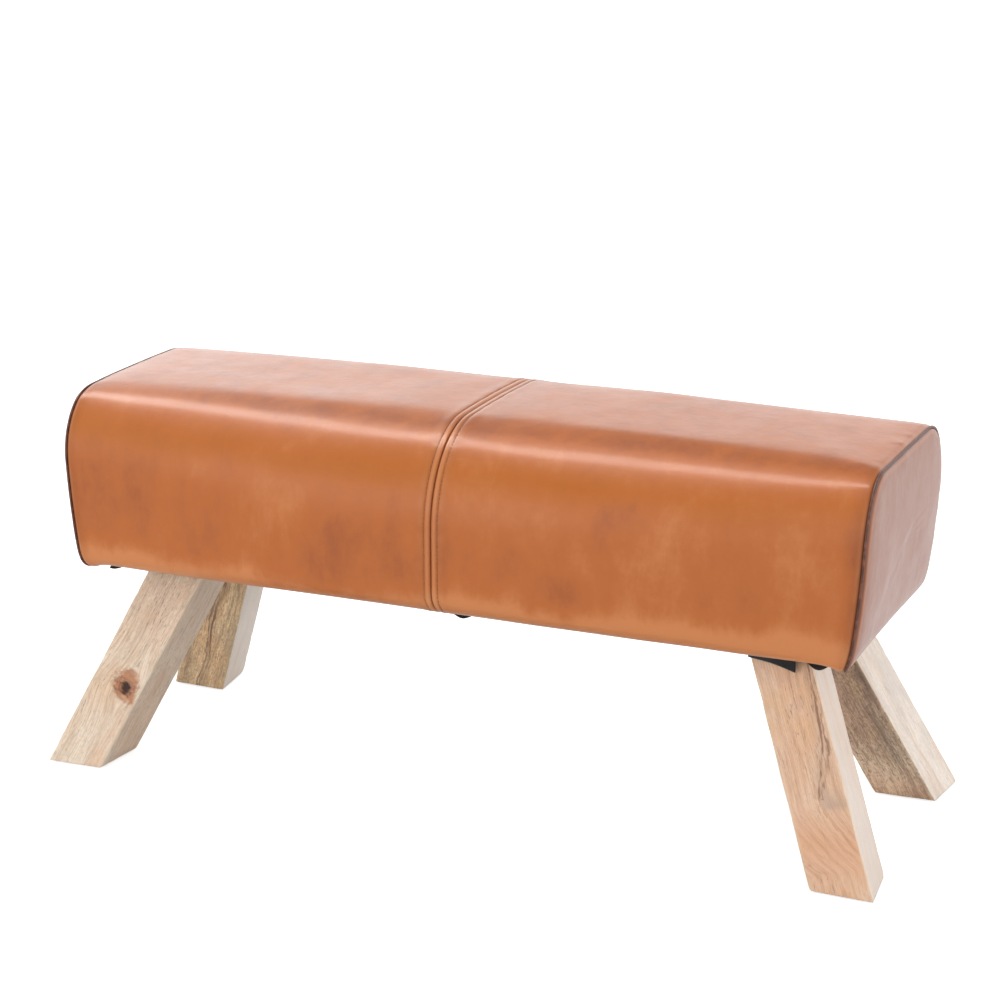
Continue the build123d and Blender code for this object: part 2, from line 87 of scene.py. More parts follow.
LEG_FOOT = (499 * MM, 153 * MM)
LEG_SPLAY = (0.44, 0.369)
LEG_TWIST = math.radians(2)
LEG_SIDE = 70 * MM
LEG_EDGE = 2.2 * MM
PAD_SIDE = 56 * MM
PAD_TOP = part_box("foot_pad_back_right")[1][2]
PLATE_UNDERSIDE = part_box("leg_plate_back_right")[0][2]
LAYER_PITCH = 4 * MM  # of the plywood's glued layers


# ---- Small tools
def lattice(ix, iy, iz, seed):
    """Repeatable values from 0 to 1 on whole-number points."""
    n = ix * 374761393 + iy * 668265263 + iz * 1440670441 + seed * 974634777
    n = (n ^ (n >> 13)) & 0xFFFFFFFF
    n = (n * 1274126177) & 0xFFFFFFFF
    return ((n ^ (n >> 16)) & 0xFFFFFF) / float(0xFFFFFF)


def noise(points, size, seed=0):
    """Smooth noise from -1 to 1 at points (n, 3), with lumps of about the given size."""
    q = np.asarray(points, float) / np.asarray(size, float)
    base = np.floor(q).astype(np.int64)
    t = q - base
    t = t * t * (3 - 2 * t)
    total = 0.0
    for dx in (0, 1):
        wx = t[..., 0] if dx else 1 - t[..., 0]
        for dy in (0, 1):
            wy = t[..., 1] if dy else 1 - t[..., 1]
            for dz in (0, 1):
                wz = t[..., 2] if dz else 1 - t[..., 2]
                corner = lattice(base[..., 0] + dx, base[..., 1] + dy, base[..., 2] + dz, seed)
                total = total + wx * wy * wz * corner
    return 2 * total - 1


def bump(distance, width):
    """1 at distance 0, fading smoothly to 0 beyond width."""
    return np.exp(-((distance / width) ** 2))


def make_piece(name, vertices, faces, material, smooth=True):
    """A mesh object from arrays."""
    mesh = bpy.data.meshes.new(name)
    mesh.from_pydata([tuple(v) for v in vertices], [], [tuple(int(i) for i in f) for f in faces])
    mesh.validate()
    piece = bpy.data.objects.new(name, mesh)
    bpy.context.scene.collection.objects.link(piece)
    mesh.materials.append(material)
    if smooth:
        mesh.polygons.foreach_set("use_smooth", [True] * len(mesh.polygons))
    mesh.update()
    return piece


def add_value(piece, name, values):
    """A number per vertex that the materials read."""
    layer = piece.data.attributes.new(name, "FLOAT", "POINT")
    layer.data.foreach_set("value", np.asarray(values, np.float32).ravel())


def add_vector(piece, name, values):
    """A vector per vertex that the materials read."""
    layer = piece.data.attributes.new(name, "FLOAT_VECTOR", "POINT")
    layer.data.foreach_set("vector", np.asarray(values, np.float32).ravel())


def grid_faces(rows, columns, closed_rows=False, flip=False, start=0):
    """Quads between neighbouring points of a grid stored column after column."""
    faces = []
    last = rows if closed_rows else rows - 1
    for c in range(columns - 1):
        for r in range(last):
            r2 = (r + 1) % rows
            quad = (c * rows + r, (c + 1) * rows + r, (c + 1) * rows + r2, c * rows + r2)
            quad = tuple(start + i for i in quad)
            faces.append(quad[::-1] if flip else quad)
    return faces


def thicken(piece, thickness):
    """Gives a sheet its thickness, inwards."""
    modifier = piece.modifiers.new("thickness", "SOLIDIFY")
    modifier.thickness = thickness
    modifier.offset = -1
    modifier.use_even_offset = False


def stand_for(piece, material_slot, *nodes):
    """Puts a new piece on the bench in place of CAD nodes."""
    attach(piece, "root")
    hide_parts(*nodes)


# ---- The block's shape
def outline(s):
    """Points round the block at station s, from -1 at the left end to 1 at the right end.

    Gives (ROWS, 2) y and z, from the front edge of the underside over the top to the back edge.
    """
    k = s * s

    def at(middle, end):
        return middle + (end - middle) * k

    w = at(MIDDLE_HALF_WIDTH, END_HALF_WIDTH)
    top = at(TOP_MIDDLE, TOP_END)
    top_y, top_z = (at(m, e) for m, e in zip(MIDDLE_TOP_CORNER, END_TOP_CORNER))
    low_y, low_z = (at(m, e) for m, e in zip(MIDDLE_BOTTOM_CORNER, END_BOTTOM_CORNER))
    low = np.radians(np.linspace(-90, 0, 40))
    high = np.radians(np.linspace(0, 90, 80))
    flat = np.linspace(0, 1, 30)
    same = np.ones(30)
    side_from = BLOCK_BOTTOM + low_z
    side_to = top - top_z
    runs = (
        (-TURN_IN_Y - (w - low_y - TURN_IN_Y) * flat, BLOCK_BOTTOM * same),
        (-(w - low_y + low_y * np.cos(low)), side_from + low_z * np.sin(low)),
        (-w * same, side_from + (side_to - side_from) * flat),
        (-(w - top_y + top_y * np.cos(high)), side_to + top_z * np.sin(high)),
        (-(w - top_y) * (1 - flat), top * same),
    )
    y, z = np.concatenate(runs, axis=1)
    y, z = np.concatenate([y, -y[::-1]]), np.concatenate([z, z[::-1]])
    step = np.hypot(np.diff(y), np.diff(z))
    apart = step > 1e-7
    keep = np.concatenate([[True], apart])
    y, z = y[keep], z[keep]
    arc = np.concatenate([[0], np.cumsum(step[apart])])
    even = np.linspace(0, arc[-1], ROWS)
    ring = np.stack([np.interp(even, arc, y), np.interp(even, arc, z)], 1)
    kernel = np.array([1, 4, 6, 4, 1]) / 16.0
    for _ in range(3):
        padded = np.vstack([ring[:1], ring[:1], ring, ring[-1:], ring[-1:]])
        smooth = sum(kernel[i] * padded[i : i + ROWS] for i in range(5))
        ring[3:-3] = smooth[3:-3]
    crown = CROWN * np.clip(1 - (ring[:, 0] / (w - top_y * 0.6)) ** 2, 0, 1)
    ring[:, 1] += crown * (ring[:, 1] > side_to)
    return ring


def half_length(z):
    """How far the block reaches to either side at height z, before its ends bow."""
    h = (z - BLOCK_BOTTOM) / (TOP_END - BLOCK_BOTTOM)
    return HALF_LENGTH_BOTTOM + (HALF_LENGTH_TOP - HALF_LENGTH_BOTTOM) * np.clip(h, 0, 1.05)


def skin_grid(stations):
    """Points of the block's skin, (columns, rows, 3), at the given stations."""
    grid = []
    for s in stations:
        ring = outline(s)
        grid.append(np.column_stack([s * half_length(ring[:, 1]), ring]))
    return np.array(grid)


def grid_normals(grid):
    """Outward unit normals of a grid of skin points whose x grows with the column."""
    across = np.gradient(grid, axis=0)
    round_way = np.gradient(grid, axis=1)
    normal = np.cross(across, round_way)
    return normal / np.linalg.norm(normal, axis=2, keepdims=True)


def settle(points):
    """The soft block's own sag: ends that bow, bottom corners that hang, and slow lumps."""
    p = np.array(points, float)
    x, y, z = (p[..., i].copy() for i in range(3))
    h = np.clip((z - BLOCK_BOTTOM) / (TOP_END - BLOCK_BOTTOM), 0, 1)
    near_end = np.clip(np.abs(x) / HALF_LENGTH_BOTTOM, 0, 1.05) ** 10
    above = np.maximum(z - BLOCK_BOTTOM, 0)
    p[..., 0] += np.sign(x) * END_BOW * 4 * h * (1 - h) * near_end
    p[..., 0] -= np.sign(x) * LOWER_EDGE_TUCK * np.exp(-above / (11 * MM)) * near_end
    from_end = half_length(z) - np.abs(x)
    low = bump(z - BLOCK_BOTTOM, 30 * MM)
    high = np.clip((z - TOP_END) / (12 * MM) + 1, 0, 1)
    corner = 0.6 + 0.4 * np.clip((np.abs(y) - 60 * MM) / (80 * MM), 0, 1)
    p[..., 2] -= LOWER_CORNER_SAG * bump(from_end, 20 * MM) * low * corner
    p[..., 2] -= UPPER_EDGE_DIP * bump(from_end, 13 * MM) * high
    slow = noise(p, (170 * MM, 120 * MM, 120 * MM), 5)
    quick = noise(p, (62 * MM, 55 * MM, 50 * MM), 9)
    middle_z, half_height = 0.375, 0.112
    out = np.stack([np.zeros_like(y), y / MIDDLE_HALF_WIDTH, (z - middle_z) / half_height], -1)
    out = out / np.maximum(np.linalg.norm(out, axis=-1, keepdims=True), 0.3)
    return p + out * (0.9 * MM * slow + 0.35 * MM * quick)[..., None]


def pushed(grid, push):
    """A grid of skin points moved out along its normals, with the block's sag."""
    return settle(grid + grid_normals(grid) * push[..., None])


def blend_rows(table, stations, at):
    """Rows of a table at places between its stations."""
    place = np.interp(at, stations, np.arange(len(stations)))
    low = np.clip(np.asarray(place).astype(int), 0, len(stations) - 2)
    t = np.asarray(place - low)[..., None]
    return table[low] * (1 - t) + table[low + 1] * t


CLOTH_SETTINGS = {
    "quality": 4,
    "mass": 0.4,
    "tension_stiffness": 25,
    "compression_stiffness": 25,
    "shear_stiffness": 8,
    "bending_stiffness": 4,
    "vertex_group_mass": "held",
    "use_pressure": True,
    "uniform_pressure_force": 4,
}


def inflate(vertices, faces, pinned, cap):
    """Blows up a sheet as cloth held at its pinned vertices: its new vertices, none moved past cap."""
    scene = bpy.context.scene
    mesh = bpy.data.meshes.new("sheet")
    mesh.from_pydata([tuple(v) for v in vertices], [], faces)
    sheet = bpy.data.objects.new("sheet", mesh)
    scene.collection.objects.link(sheet)
    group = sheet.vertex_groups.new(name="held")
    group.add([int(i) for i in np.flatnonzero(pinned)], 1.0, "REPLACE")
    cloth = sheet.modifiers.new("cloth", "CLOTH")
    for name, value in CLOTH_SETTINGS.items():
        setattr(cloth.settings, name, value)
    cloth.settings.effector_weights.gravity = 0
    cloth.collision_settings.use_collision = False
    cloth.point_cache.frame_end = CLOTH_STEPS
    for step in range(1, CLOTH_STEPS + 1):
        scene.frame_set(step)
    blown = sheet.evaluated_get(bpy.context.evaluated_depsgraph_get())
    result = np.empty(len(vertices) * 3)
    blown.data.vertices.foreach_get("co", result)
    scene.frame_set(1)
    bpy.data.objects.remove(sheet)
    bpy.data.meshes.remove(mesh)
    start = np.asarray(vertices, float)
    move = result.reshape(-1, 3) - start
    length = np.linalg.norm(move, axis=1, keepdims=True)
    limited = cap * np.tanh(length / cap) / np.maximum(length, 1e-9)
    return start + move * limited


def padding_swell():
    """How far the padding pushes a cover out between its seams, as (stations, columns by rows)."""
    stations = np.linspace(0, 1, 86)
    grid = skin_grid(stations)
    held = np.zeros(grid.shape[:2], bool)
    held[0], held[-1] = True, True
    held[:, :3], held[:, -3:] = True, True
    faces = grid_faces(ROWS, len(stations))
    blown = inflate(grid.reshape(-1, 3), faces, held.ravel(), COVER_SWELL)
    move = blown.reshape(grid.shape) - grid
    return stations, np.sum(move * grid_normals(grid), axis=2)


swell_stations, swell = padding_swell()


def swell_at(stations):
    """The padding's swell at other stations."""
    return blend_rows(swell, swell_stations, np.abs(stations))


# ---- Material tools
class Nodes:
    """Short names for building the node tree of a material or a world."""

    def __init__(self, owner):
        owner.use_nodes = True
        self.owner = owner
        self.tree = owner.node_tree
        self.shader = self.tree.nodes.get("Principled BSDF")

    def put(self, socket, item):
        """Gives an input a number, a vector, a colour or another node's output."""
        if isinstance(item, bpy.types.NodeSocket):
            self.tree.links.new(item, socket)
        elif socket.type == "RGBA":
            socket.default_value = (*item, 1)
        else:
            socket.default_value = item

    def put_all(self, sockets, items):
        for socket, item in zip(sockets, items):
            self.put(socket, item)

    def new(self, kind, **inputs):
        """A node with the named inputs set, _ standing for a space."""
        node = self.tree.nodes.new(kind)
        for name, item in inputs.items():
            self.put(node.inputs[name.replace("_", " ")], item)
        return node

    def value(self, name, output="Fac"):
        """A number that the piece holds per vertex, or a vector if output is Vector."""
        node = self.new("ShaderNodeAttribute")
        node.attribute_name = name
        return node.outputs[output]

    def place(self):
        """Position on the bench, in metres."""
        return self.new("ShaderNodeTexCoord").outputs["Object"]

    def axes(self, vector):
        """A vector's x, y and z."""
        return self.new("ShaderNodeSeparateXYZ", Vector=vector).outputs

    def stretch(self, vector, scale, shift=(0, 0, 0)):
        """Scales a vector, then shifts it."""
        return self.new("ShaderNodeMapping", Vector=vector, Scale=scale, Location=shift).outputs[0]

    def noise(self, vector, scale, detail=3.0, rough=0.5, distortion=0.0):
        """Noise from 0 to 1, with about scale lumps to the metre."""
        settings = {"Detail": detail, "Roughness": rough, "Distortion": distortion}
        return self.new("ShaderNodeTexNoise", Vector=vector, Scale=scale, **settings).outputs["Fac"]

    def shake(self, vector, stretch, scale, amount):
        """Moves a vector smoothly, by 0 to amount on each axis."""
        lumps = self.new("ShaderNodeTexNoise", Vector=self.stretch(vector, stretch), Scale=scale, Detail=2.0)
        moved = self.new("ShaderNodeVectorMath")
        moved.operation = "MULTIPLY_ADD"
        self.put_all(moved.inputs, (lumps.outputs["Color"], (amount,) * 3, vector))
        return moved.outputs[0]

    def cells(self, vector, scale):
        """Distance to the nearest of many scattered points."""
        return self.new("ShaderNodeTexVoronoi", Vector=vector, Scale=scale).outputs["Distance"]

    def math(self, operation, *items, clamp=False):
        node = self.new("ShaderNodeMath")
        node.operation = operation
        node.use_clamp = clamp
        self.put_all(node.inputs, items)
        return node.outputs[0]

    def add(self, first, *others):
        for item in others:
            first = self.math("ADD", first, item)
        return first

    def minus(self, a, b):
        return self.math("SUBTRACT", a, b)

    def times(self, a, b):
        return self.math("MULTIPLY", a, b)

    def swing(self, noise, amount):
        """Noise of 0 to 1 as a change of up to half the amount either way."""
        return self.times(self.minus(noise, 0.5), amount)

    def fit(self, value, low, high, to_low=0.0, to_high=1.0):
        """Maps low..high to to_low..to_high, smoothly, and holds it there outside."""
        node = self.new("ShaderNodeMapRange")
        node.interpolation_type = "SMOOTHSTEP"
        self.put_all(node.inputs, (value, low, high, to_low, to_high))
        return node.outputs[0]

    def mix(self, factor, a, b):
        """A colour that goes from a to b as factor goes from 0 to 1."""
        node = self.new("ShaderNodeMix")
        node.data_type = "RGBA"
        first_colour, second_colour = node.inputs[6], node.inputs[7]
        self.put_all((node.inputs[0], first_colour, second_colour), (factor, a, b))
        return node.outputs[2]

    def layers(self, colour, *coats):
        """A colour under coats, each the factor and the colour of what goes over."""
        for factor, coat in coats:
            colour = self.mix(factor, colour, coat)
        return colour

    def finish(self, colour, roughness, height=None, depth=0.1 * MM, **others):
        """Sets the shader's inputs. height is 0 to 1 and stands for depth metres."""
        if height is not None:
            relief = self.new("ShaderNodeBump", Height=height, Strength=1.0, Distance=depth)
            others["Normal"] = relief.outputs["Normal"]
        others.update(Base_Color=colour, Roughness=roughness)
        for name, item in others.items():
            self.put(self.shader.inputs[name.replace("_", " ")], item)
        return self.owner


def material_nodes(name):
    return Nodes(bpy.data.materials.new(name))


def lighter(colour, gain, lift, most=0.92):
    return tuple(min(most, gain * c + lift) for c in colour)


# ---- Materials
# Colours are linear. The numbers of a noise are its scale, detail, roughness and distortion.
def tan_leather(name, end_panel=False):
    """Tan leather: soft mottling, painted shade in the creases, and lighter on the ridges, partly where it
    is stretched and partly as a painted highlight.

    An end panel's copy is redder and darker, as painted shade against the strong light from the right, with
    paler upright streaks.
    """
    n = material_nodes(name)
    place = n.place()
    cloud = n.noise(place, 7.0, 4.0, 0.55, 0.6)
    drips = n.noise(n.stretch(place, (1, 1, 0.40), (3, 1, 7)), 26.0, 5.0, 0.62, 0.3)
    fine = n.noise(place, 75.0, 5.0, 0.65)
    tone = n.add(n.value("tone"), n.swing(cloud, 1.7), n.swing(drips, 2.6), n.swing(fine, 0.9))
    colour = n.layers(
        n.mix(n.fit(tone, -1.6, 0.0), (0.390, 0.108, 0.033), (0.530, 0.148, 0.032)),
        (n.fit(tone, -0.1, 1.5), (0.660, 0.240, 0.080)),
        (n.times(n.value("amber"), 0.90), (0.475, 0.130, 0.005)),
    )
    # painted shade: an end panel's copy is darker against the strong light from the right, with paler
    # upright streaks
    if end_panel:
        rub = n.noise(n.stretch(place, (1, 9, 0.9)), 9.0, 3.0, 0.5)
        rubbed = n.fit(rub, 0.35, 0.72, 0.0, 0.40)
        colour = n.layers(colour, (0.85, (0.235, 0.085, 0.050)), (rubbed, (0.31, 0.145, 0.095)))
    colour = n.layers(
        colour,
        # lighter ridges: partly stretched leather, partly painted highlight
        (n.times(n.value("pale"), 0.50), (0.760, 0.340, 0.150)),
        # painted shade in the creases and grooves
        (n.times(n.value("crease"), 0.85), (0.085, 0.022, 0.010)),
    )
    pores = n.cells(place, 950.0)
    folds = n.noise(place, 420.0, 4.0, 0.6, 0.8)
    soft = n.noise(place, 90.0, 3.0, 0.5)
    height = n.add(n.times(pores, 0.35), n.times(folds, 0.5), n.times(soft, 2.0))
    roughness = n.fit(n.noise(place, 24.0, 4.0, 0.6), 0.25, 0.75, 0.36, 0.48)
    polish = {"IOR": 1.35, "Coat_Weight": 0.65, "Coat_Roughness": 0.22, "Coat_IOR": 1.45}
    return n.finish(colour, roughness, height, 0.16 * MM, **polish)


def piping_leather():
    """Dark brown leather of the piping, rubbed a little lighter in places."""
    n = material_nodes("piping_leather")
    place = n.place()
    worn = n.noise(place, 140.0, 4.0, 0.6)
    colour = n.mix(n.fit(worn, 0.35, 0.75), (0.100, 0.038, 0.025), (0.240, 0.090, 0.052))
    wrinkles = n.noise(place, 900.0, 4.0, 0.6, 0.5)
    return n.finish(colour, n.fit(worn, 0.3, 0.7, 0.42, 0.6), wrinkles, 0.2 * MM, Coat_Weight=0.15)


def thread(name, dark, light):
    """Twisted thread."""
    n = material_nodes(name)
    place = n.place()
    twist = n.noise(place, 1600.0, 2.0, 0.5)
    wear = n.noise(place, 45.0, 3.0, 0.5)
    colour = n.mix(n.fit(n.add(twist, wear), 0.7, 1.3), dark, light)
    return n.finish(colour, 0.70, twist, 0.15 * MM)


def wood(name, pale, warm, rust, dark, grey, dark_amount, swirl, seed, knot=False):
    """Pale mango timber: fine broken fibres, short dark pores, stained streaks and a painted figure that in
    places holds painted shade, with painted light on the faces lit from the right and a painted highlight on
    the knot.
    """
    n = material_nodes(name)
    grain = n.stretch(n.value("grain", "Vector"), (1, 1, 1), (seed * 0.37, seed * 0.61, seed * 0.83))
    grain = n.shake(grain, (1, 1, 0.30), 13.0, 0.007 + 0.016 * swirl)
    grain = n.shake(grain, (1, 1, 0.45), 45.0, 0.0016 + 0.006 * swirl)

    def marks(along, scale, detail, rough, shift=(0, 0, 0)):
        """Noise drawn out along the grain: the smaller along is, the longer its marks."""
        return n.noise(n.stretch(grain, (1, 1, along), shift), scale, detail, rough)

    fibre = marks(0.035, 640.0, 5.0, 0.7)
    streak = marks(0.07, 150.0, 5.0, 0.65, (8, 3, 1))
    broad = marks(0.12, 48.0, 4.0, 0.6, (3, 8, 1))
    stain = marks(0.30, 24.0, 5.0, 0.65, (2, 7, 4))
    patch = marks(0.45, 34.0, 5.0, 0.7, (7, 2, 5))
    blotch = marks(0.55, 17.0, 3.0, 0.5, (1, 4, 6))
    speckle = marks(0.5, 420.0, 4.0, 0.7)
    pores = marks(0.11, 760.0, 3.0, 0.6, (4, 4, 4))
    wander = marks(0.30, 110.0, 4.0, 0.6, (6, 6, 1))
    x, y, _ = n.axes(grain)
    across = n.add(n.times(x, 560.0), n.times(y, 420.0))
    wave = n.math("SINE", n.add(across, n.times(n.noise(grain, 22.0, 3.0), 9.0)))

    # the figure and painted shade: soft dark parts, and a split double vein with a halo
    vein = n.value("vein")
    first = n.math("ABSOLUTE", n.add(vein, n.swing(wander, 9.0)))
    second = n.math("ABSOLUTE", n.add(n.minus(vein, 5.5), n.swing(wander, 16.0)))
    lines = n.add(n.fit(first, 2.3, 0.5, 0.0, 0.95), n.fit(second, 1.9, 0.3, 0.0, 0.7))
    lines = n.times(lines, n.fit(streak, 0.40, 0.56, 0.25, 1.0))
    lines = n.add(lines, n.fit(first, 12.0, 2.0, 0.0, 0.22))
    figure = n.times(n.value("figure"), n.fit(speckle, 0.36, 0.56, 0.45, 1.0))
    figure = n.math("ADD", figure, lines, clamp=True)

    band = n.times(n.fit(wave, 0.2, 1.0), n.fit(broad, 0.40, 0.62))
    stain_from = 0.62 - 0.20 * dark_amount
    stained = n.fit(stain, stain_from, stain_from + 0.16, 0.0, 0.40 + 0.25 * dark_amount)
    pore = n.times(n.fit(pores, 0.60, 0.70), n.fit(stain, 0.38, 0.60, 0.35, 1.0))
    curl = n.times(n.fit(wave, -0.1, 0.9), n.fit(blotch, 0.36, 0.62, 0.15, 1.0))
    # the colour of the painted light on the right faces, lit from the right
    sapwood = n.mix(n.fit(broad, 0.42, 0.66), (0.93, 0.86, 0.80), (0.90, 0.75, 0.63))
    sapwood = n.mix(n.fit(fibre, 0.44, 0.72, 0.0, 0.26), sapwood, (0.58, 0.44, 0.35))
    colour = n.layers(
        n.mix(n.fit(blotch, 0.36, 0.66), pale, warm),
        (n.fit(patch, 0.47, 0.64, 0.0, 0.60), rust),
        (n.fit(broad, 0.46, 0.72, 0.0, 0.30 + 0.4 * dark_amount), dark),
        (n.times(band, 0.22), dark),
        (n.fit(fibre, 0.45, 0.66, 0.0, 0.60), dark),
        (n.fit(fibre, 0.46, 0.30, 0.0, 0.35), lighter(pale, 1.12, 0.04)),
        (n.fit(streak, 0.54, 0.72, 0.0, 0.24 + 0.5 * dark_amount), dark),
        (n.fit(speckle, 0.47, 0.64, 0.0, 0.38 + 0.42 * dark_amount), grey),
        (stained, grey),
        (n.times(pore, 0.60 + 0.25 * dark_amount), (0.15, 0.085, 0.050)),
        (n.times(figure, 0.85), (0.155, 0.075, 0.050)),
        # painted light: the right faces made pale where the light from the right falls
        (n.times(n.value("sap"), 0.85), sapwood),
        (n.times(n.value("blush"), 0.62), (0.80, 0.42, 0.24)),
        (n.times(n.times(curl, n.value("blush")), 0.45), (0.44, 0.19, 0.100)),
        # grey wood, and a grey tint in the painted light of a right face
        (n.times(n.value("ash"), 0.50), (0.42, 0.31, 0.26)),
    )
    height = n.add(n.minus(n.times(fibre, 0.9), n.times(pore, 0.9)), n.times(speckle, 0.5))
    height = n.minus(height, n.times(figure, 0.8))
    if knot:
        reach = n.add(n.value("knot"), n.swing(n.noise(grain, 60.0, 5.0, 0.7), 0.034))
        flecks = marks(0.6, 300.0, 4.0, 0.7)
        rim = n.mix(n.fit(flecks, 0.4, 0.65), (0.54, 0.22, 0.095), (0.24, 0.085, 0.040))
        pit = n.fit(n.add(reach, n.times(flecks, 0.006)), 0.0135, 0.0085, 0.0, 0.96)
        colour = n.layers(
            colour,
            (n.fit(reach, 0.0235, 0.0130, 0.0, 0.88), rim),
            # painted highlight under the knot
            (n.times(n.value("gleam"), 0.8), (0.80, 0.45, 0.24)),
            (pit, (0.040, 0.016, 0.010)),
        )
        height = n.minus(height, n.times(pit, 3.0))
    colour = n.mix(n.value("worn"), colour, lighter(pale, 1.08, 0.05))
    roughness = n.fit(fibre, 0.3, 0.7, 0.50, 0.68)
    nap = {"IOR": 1.5, "Sheen_Weight": 0.55, "Sheen_Roughness": 0.35}
    return n.finish(colour, roughness, height, 0.4 * MM, **nap)


def cloth(name, dark, light, weave=700.0):
    """Plain matt cloth, felt or wadding: speckled, with a soft nap."""
    n = material_nodes(name)
    place = n.place()
    speck = n.noise(place, weave, 3.0, 0.7)
    cloud = n.noise(place, 30.0, 3.0, 0.5)
    colour = n.mix(n.fit(n.add(speck, n.times(cloud, 0.5)), 0.5, 0.95), dark, light)
    return n.finish(colour, 0.9, speck, 0.3 * MM, Sheen_Weight=0.25)


def foam_material():
    """Open-cell foam."""
    n = material_nodes("foam")
    place = n.place()
    cell = n.cells(place, 600.0)
    cloud = n.noise(place, 18.0, 3.0, 0.5)
    colour = n.mix(n.fit(cell, 0.1, 0.7), (0.62, 0.50, 0.26), (0.83, 0.76, 0.55))
    colour = n.mix(n.fit(cloud, 0.4, 0.7, 0.0, 0.4), colour, (0.80, 0.66, 0.36))
    return n.finish(colour, 0.95, cell, 0.6 * MM)


def board(name, pale, dark, layers):
    """Plywood or planed pine: long grain, with level bands for glued layers where layers is true."""
    n = material_nodes(name)
    place = n.place()
    fibre = n.noise(n.stretch(place, (0.05, 1, 1)), 420.0, 4.0, 0.6)
    broad = n.noise(n.stretch(place, (0.12, 1, 1), (3, 1, 2)), 40.0, 4.0, 0.6, 0.6)
    colour = n.mix(n.fit(fibre, 0.4, 0.7, 0.0, 0.6), pale, dark)
    colour = n.mix(n.fit(broad, 0.45, 0.7, 0.0, 0.5), colour, dark)
    if layers:
        ply = n.math("SINE", n.times(n.axes(place)[2], 2 * math.pi / LAYER_PITCH))
        colour = n.mix(n.fit(ply, 0.2, 0.8, 0.0, 0.25), colour, (0.30, 0.19, 0.10))
    return n.finish(colour, 0.72, fibre, 0.3 * MM)


def steel(name, colour, roughness, metallic, brushed):
    """Plated or powder-coated steel with fine variation."""
    n = material_nodes(name)
    place = n.place()
    grit = n.noise(place, 1200.0, 3.0, 0.6)
    smear = n.noise(n.stretch(place, (1, brushed, 1)), 160.0, 4.0, 0.6)
    tone = n.mix(n.fit(smear, 0.3, 0.75, 0.0, 0.7), colour, lighter(colour, 1.5, 0.02, most=1.0))
    rough = n.fit(smear, 0.3, 0.7, roughness - 0.08, roughness + 0.1)
    return n.finish(tone, rough, grit, 0.08 * MM, Metallic=metallic)


LEATHER_SKIN = tan_leather("leather_skin")
# a darker copy of the leather for the end panels: painted shade
LEATHER_END = tan_leather("leather_end", end_panel=True)
PIPING = piping_leather()
STITCHING = thread("stitching", (0.24, 0.080, 0.028), (0.56, 0.24, 0.085))
DUST_CLOTH = cloth("dust_cloth", (0.010, 0.010, 0.011), (0.032, 0.031, 0.033), 900.0)
FELT = cloth("felt", (0.10, 0.09, 0.08), (0.26, 0.24, 0.21), 800.0)
WADDING = cloth("wadding", (0.70, 0.70, 0.68), (0.92, 0.92, 0.90), 350.0)
COTTON = cloth("cotton", (0.55, 0.49, 0.39), (0.80, 0.75, 0.65), 1100.0)
TIMBER = {
    "front_left": wood(
        "timber_front_left",
        pale=(0.91, 0.77, 0.62), warm=(0.88, 0.67, 0.50), rust=(0.84, 0.60, 0.40),
        dark=(0.54, 0.35, 0.22), grey=(0.60, 0.49, 0.40),
        dark_amount=0.17, swirl=0.15, seed=3, knot=True,
    ),
    "front_right": wood(
        "timber_front_right",
        pale=(0.91, 0.70, 0.53), warm=(0.87, 0.56, 0.37), rust=(0.84, 0.56, 0.31),
        dark=(0.58, 0.33, 0.20), grey=(0.61, 0.48, 0.39),
        dark_amount=0.10, swirl=0.10, seed=8,
    ),
    "back_left": wood(
        "timber_back_left",
        pale=(0.91, 0.69, 0.42), warm=(0.80, 0.52, 0.28), rust=(0.60, 0.34, 0.14),
        dark=(0.27, 0.16, 0.085), grey=(0.34, 0.24, 0.16),
        dark_amount=0.7, swirl=0.40, seed=14,
    ),
    "back_right": wood(
        "timber_back_right",
        pale=(0.84, 0.66, 0.48), warm=(0.68, 0.46, 0.32), rust=(0.62, 0.44, 0.22),
        dark=(0.21, 0.135, 0.092), grey=(0.20, 0.140, 0.105),
        dark_amount=0.75, swirl=1.0, seed=21,
    ),
}


# ---- Leather covers
# Soft darker (-) and brighter (+) patches of the front's tone, the bright ones low down adding to the
# painted light from the floor: x, z, half-width, half-height, strength
PATCHES = (
    (-0.43, 0.365, 0.060, 0.050, -0.25),
    (-0.345, 0.432, 0.040, 0.012, -0.5),
    (-0.29, 0.333, 0.040, 0.035, -0.25),
    (-0.14, 0.325, 0.055, 0.050, -0.65),
    (-0.04, 0.310, 0.028, 0.060, -0.45),
    (-0.20, 0.390, 0.080, 0.030, 0.5),
    (-0.40, 0.280, 0.090, 0.018, 0.9),
    (-0.25, 0.290, 0.050, 0.018, 0.5),
    (0.235, 0.420, 0.032, 0.020, -0.8),
    (0.205, 0.375, 0.013, 0.045, -0.5),
    (0.160, 0.320, 0.030, 0.030, -0.6),
    (0.020, 0.330, 0.040, 0.030, -0.3),
    (0.270, 0.360, 0.080, 0.040, 0.5),
    (0.045, 0.282, 0.070, 0.018, 1.0),
    (0.280, 0.278, 0.140, 0.022, 1.3),
    (0.440, 0.375, 0.030, 0.040, 0.5),
    (0.492, 0.425, 0.014, 0.040, -1.2),
    (0.494, 0.345, 0.009, 0.060, -0.7),
    (0.440, 0.280, 0.050, 0.022, 1.2),
)


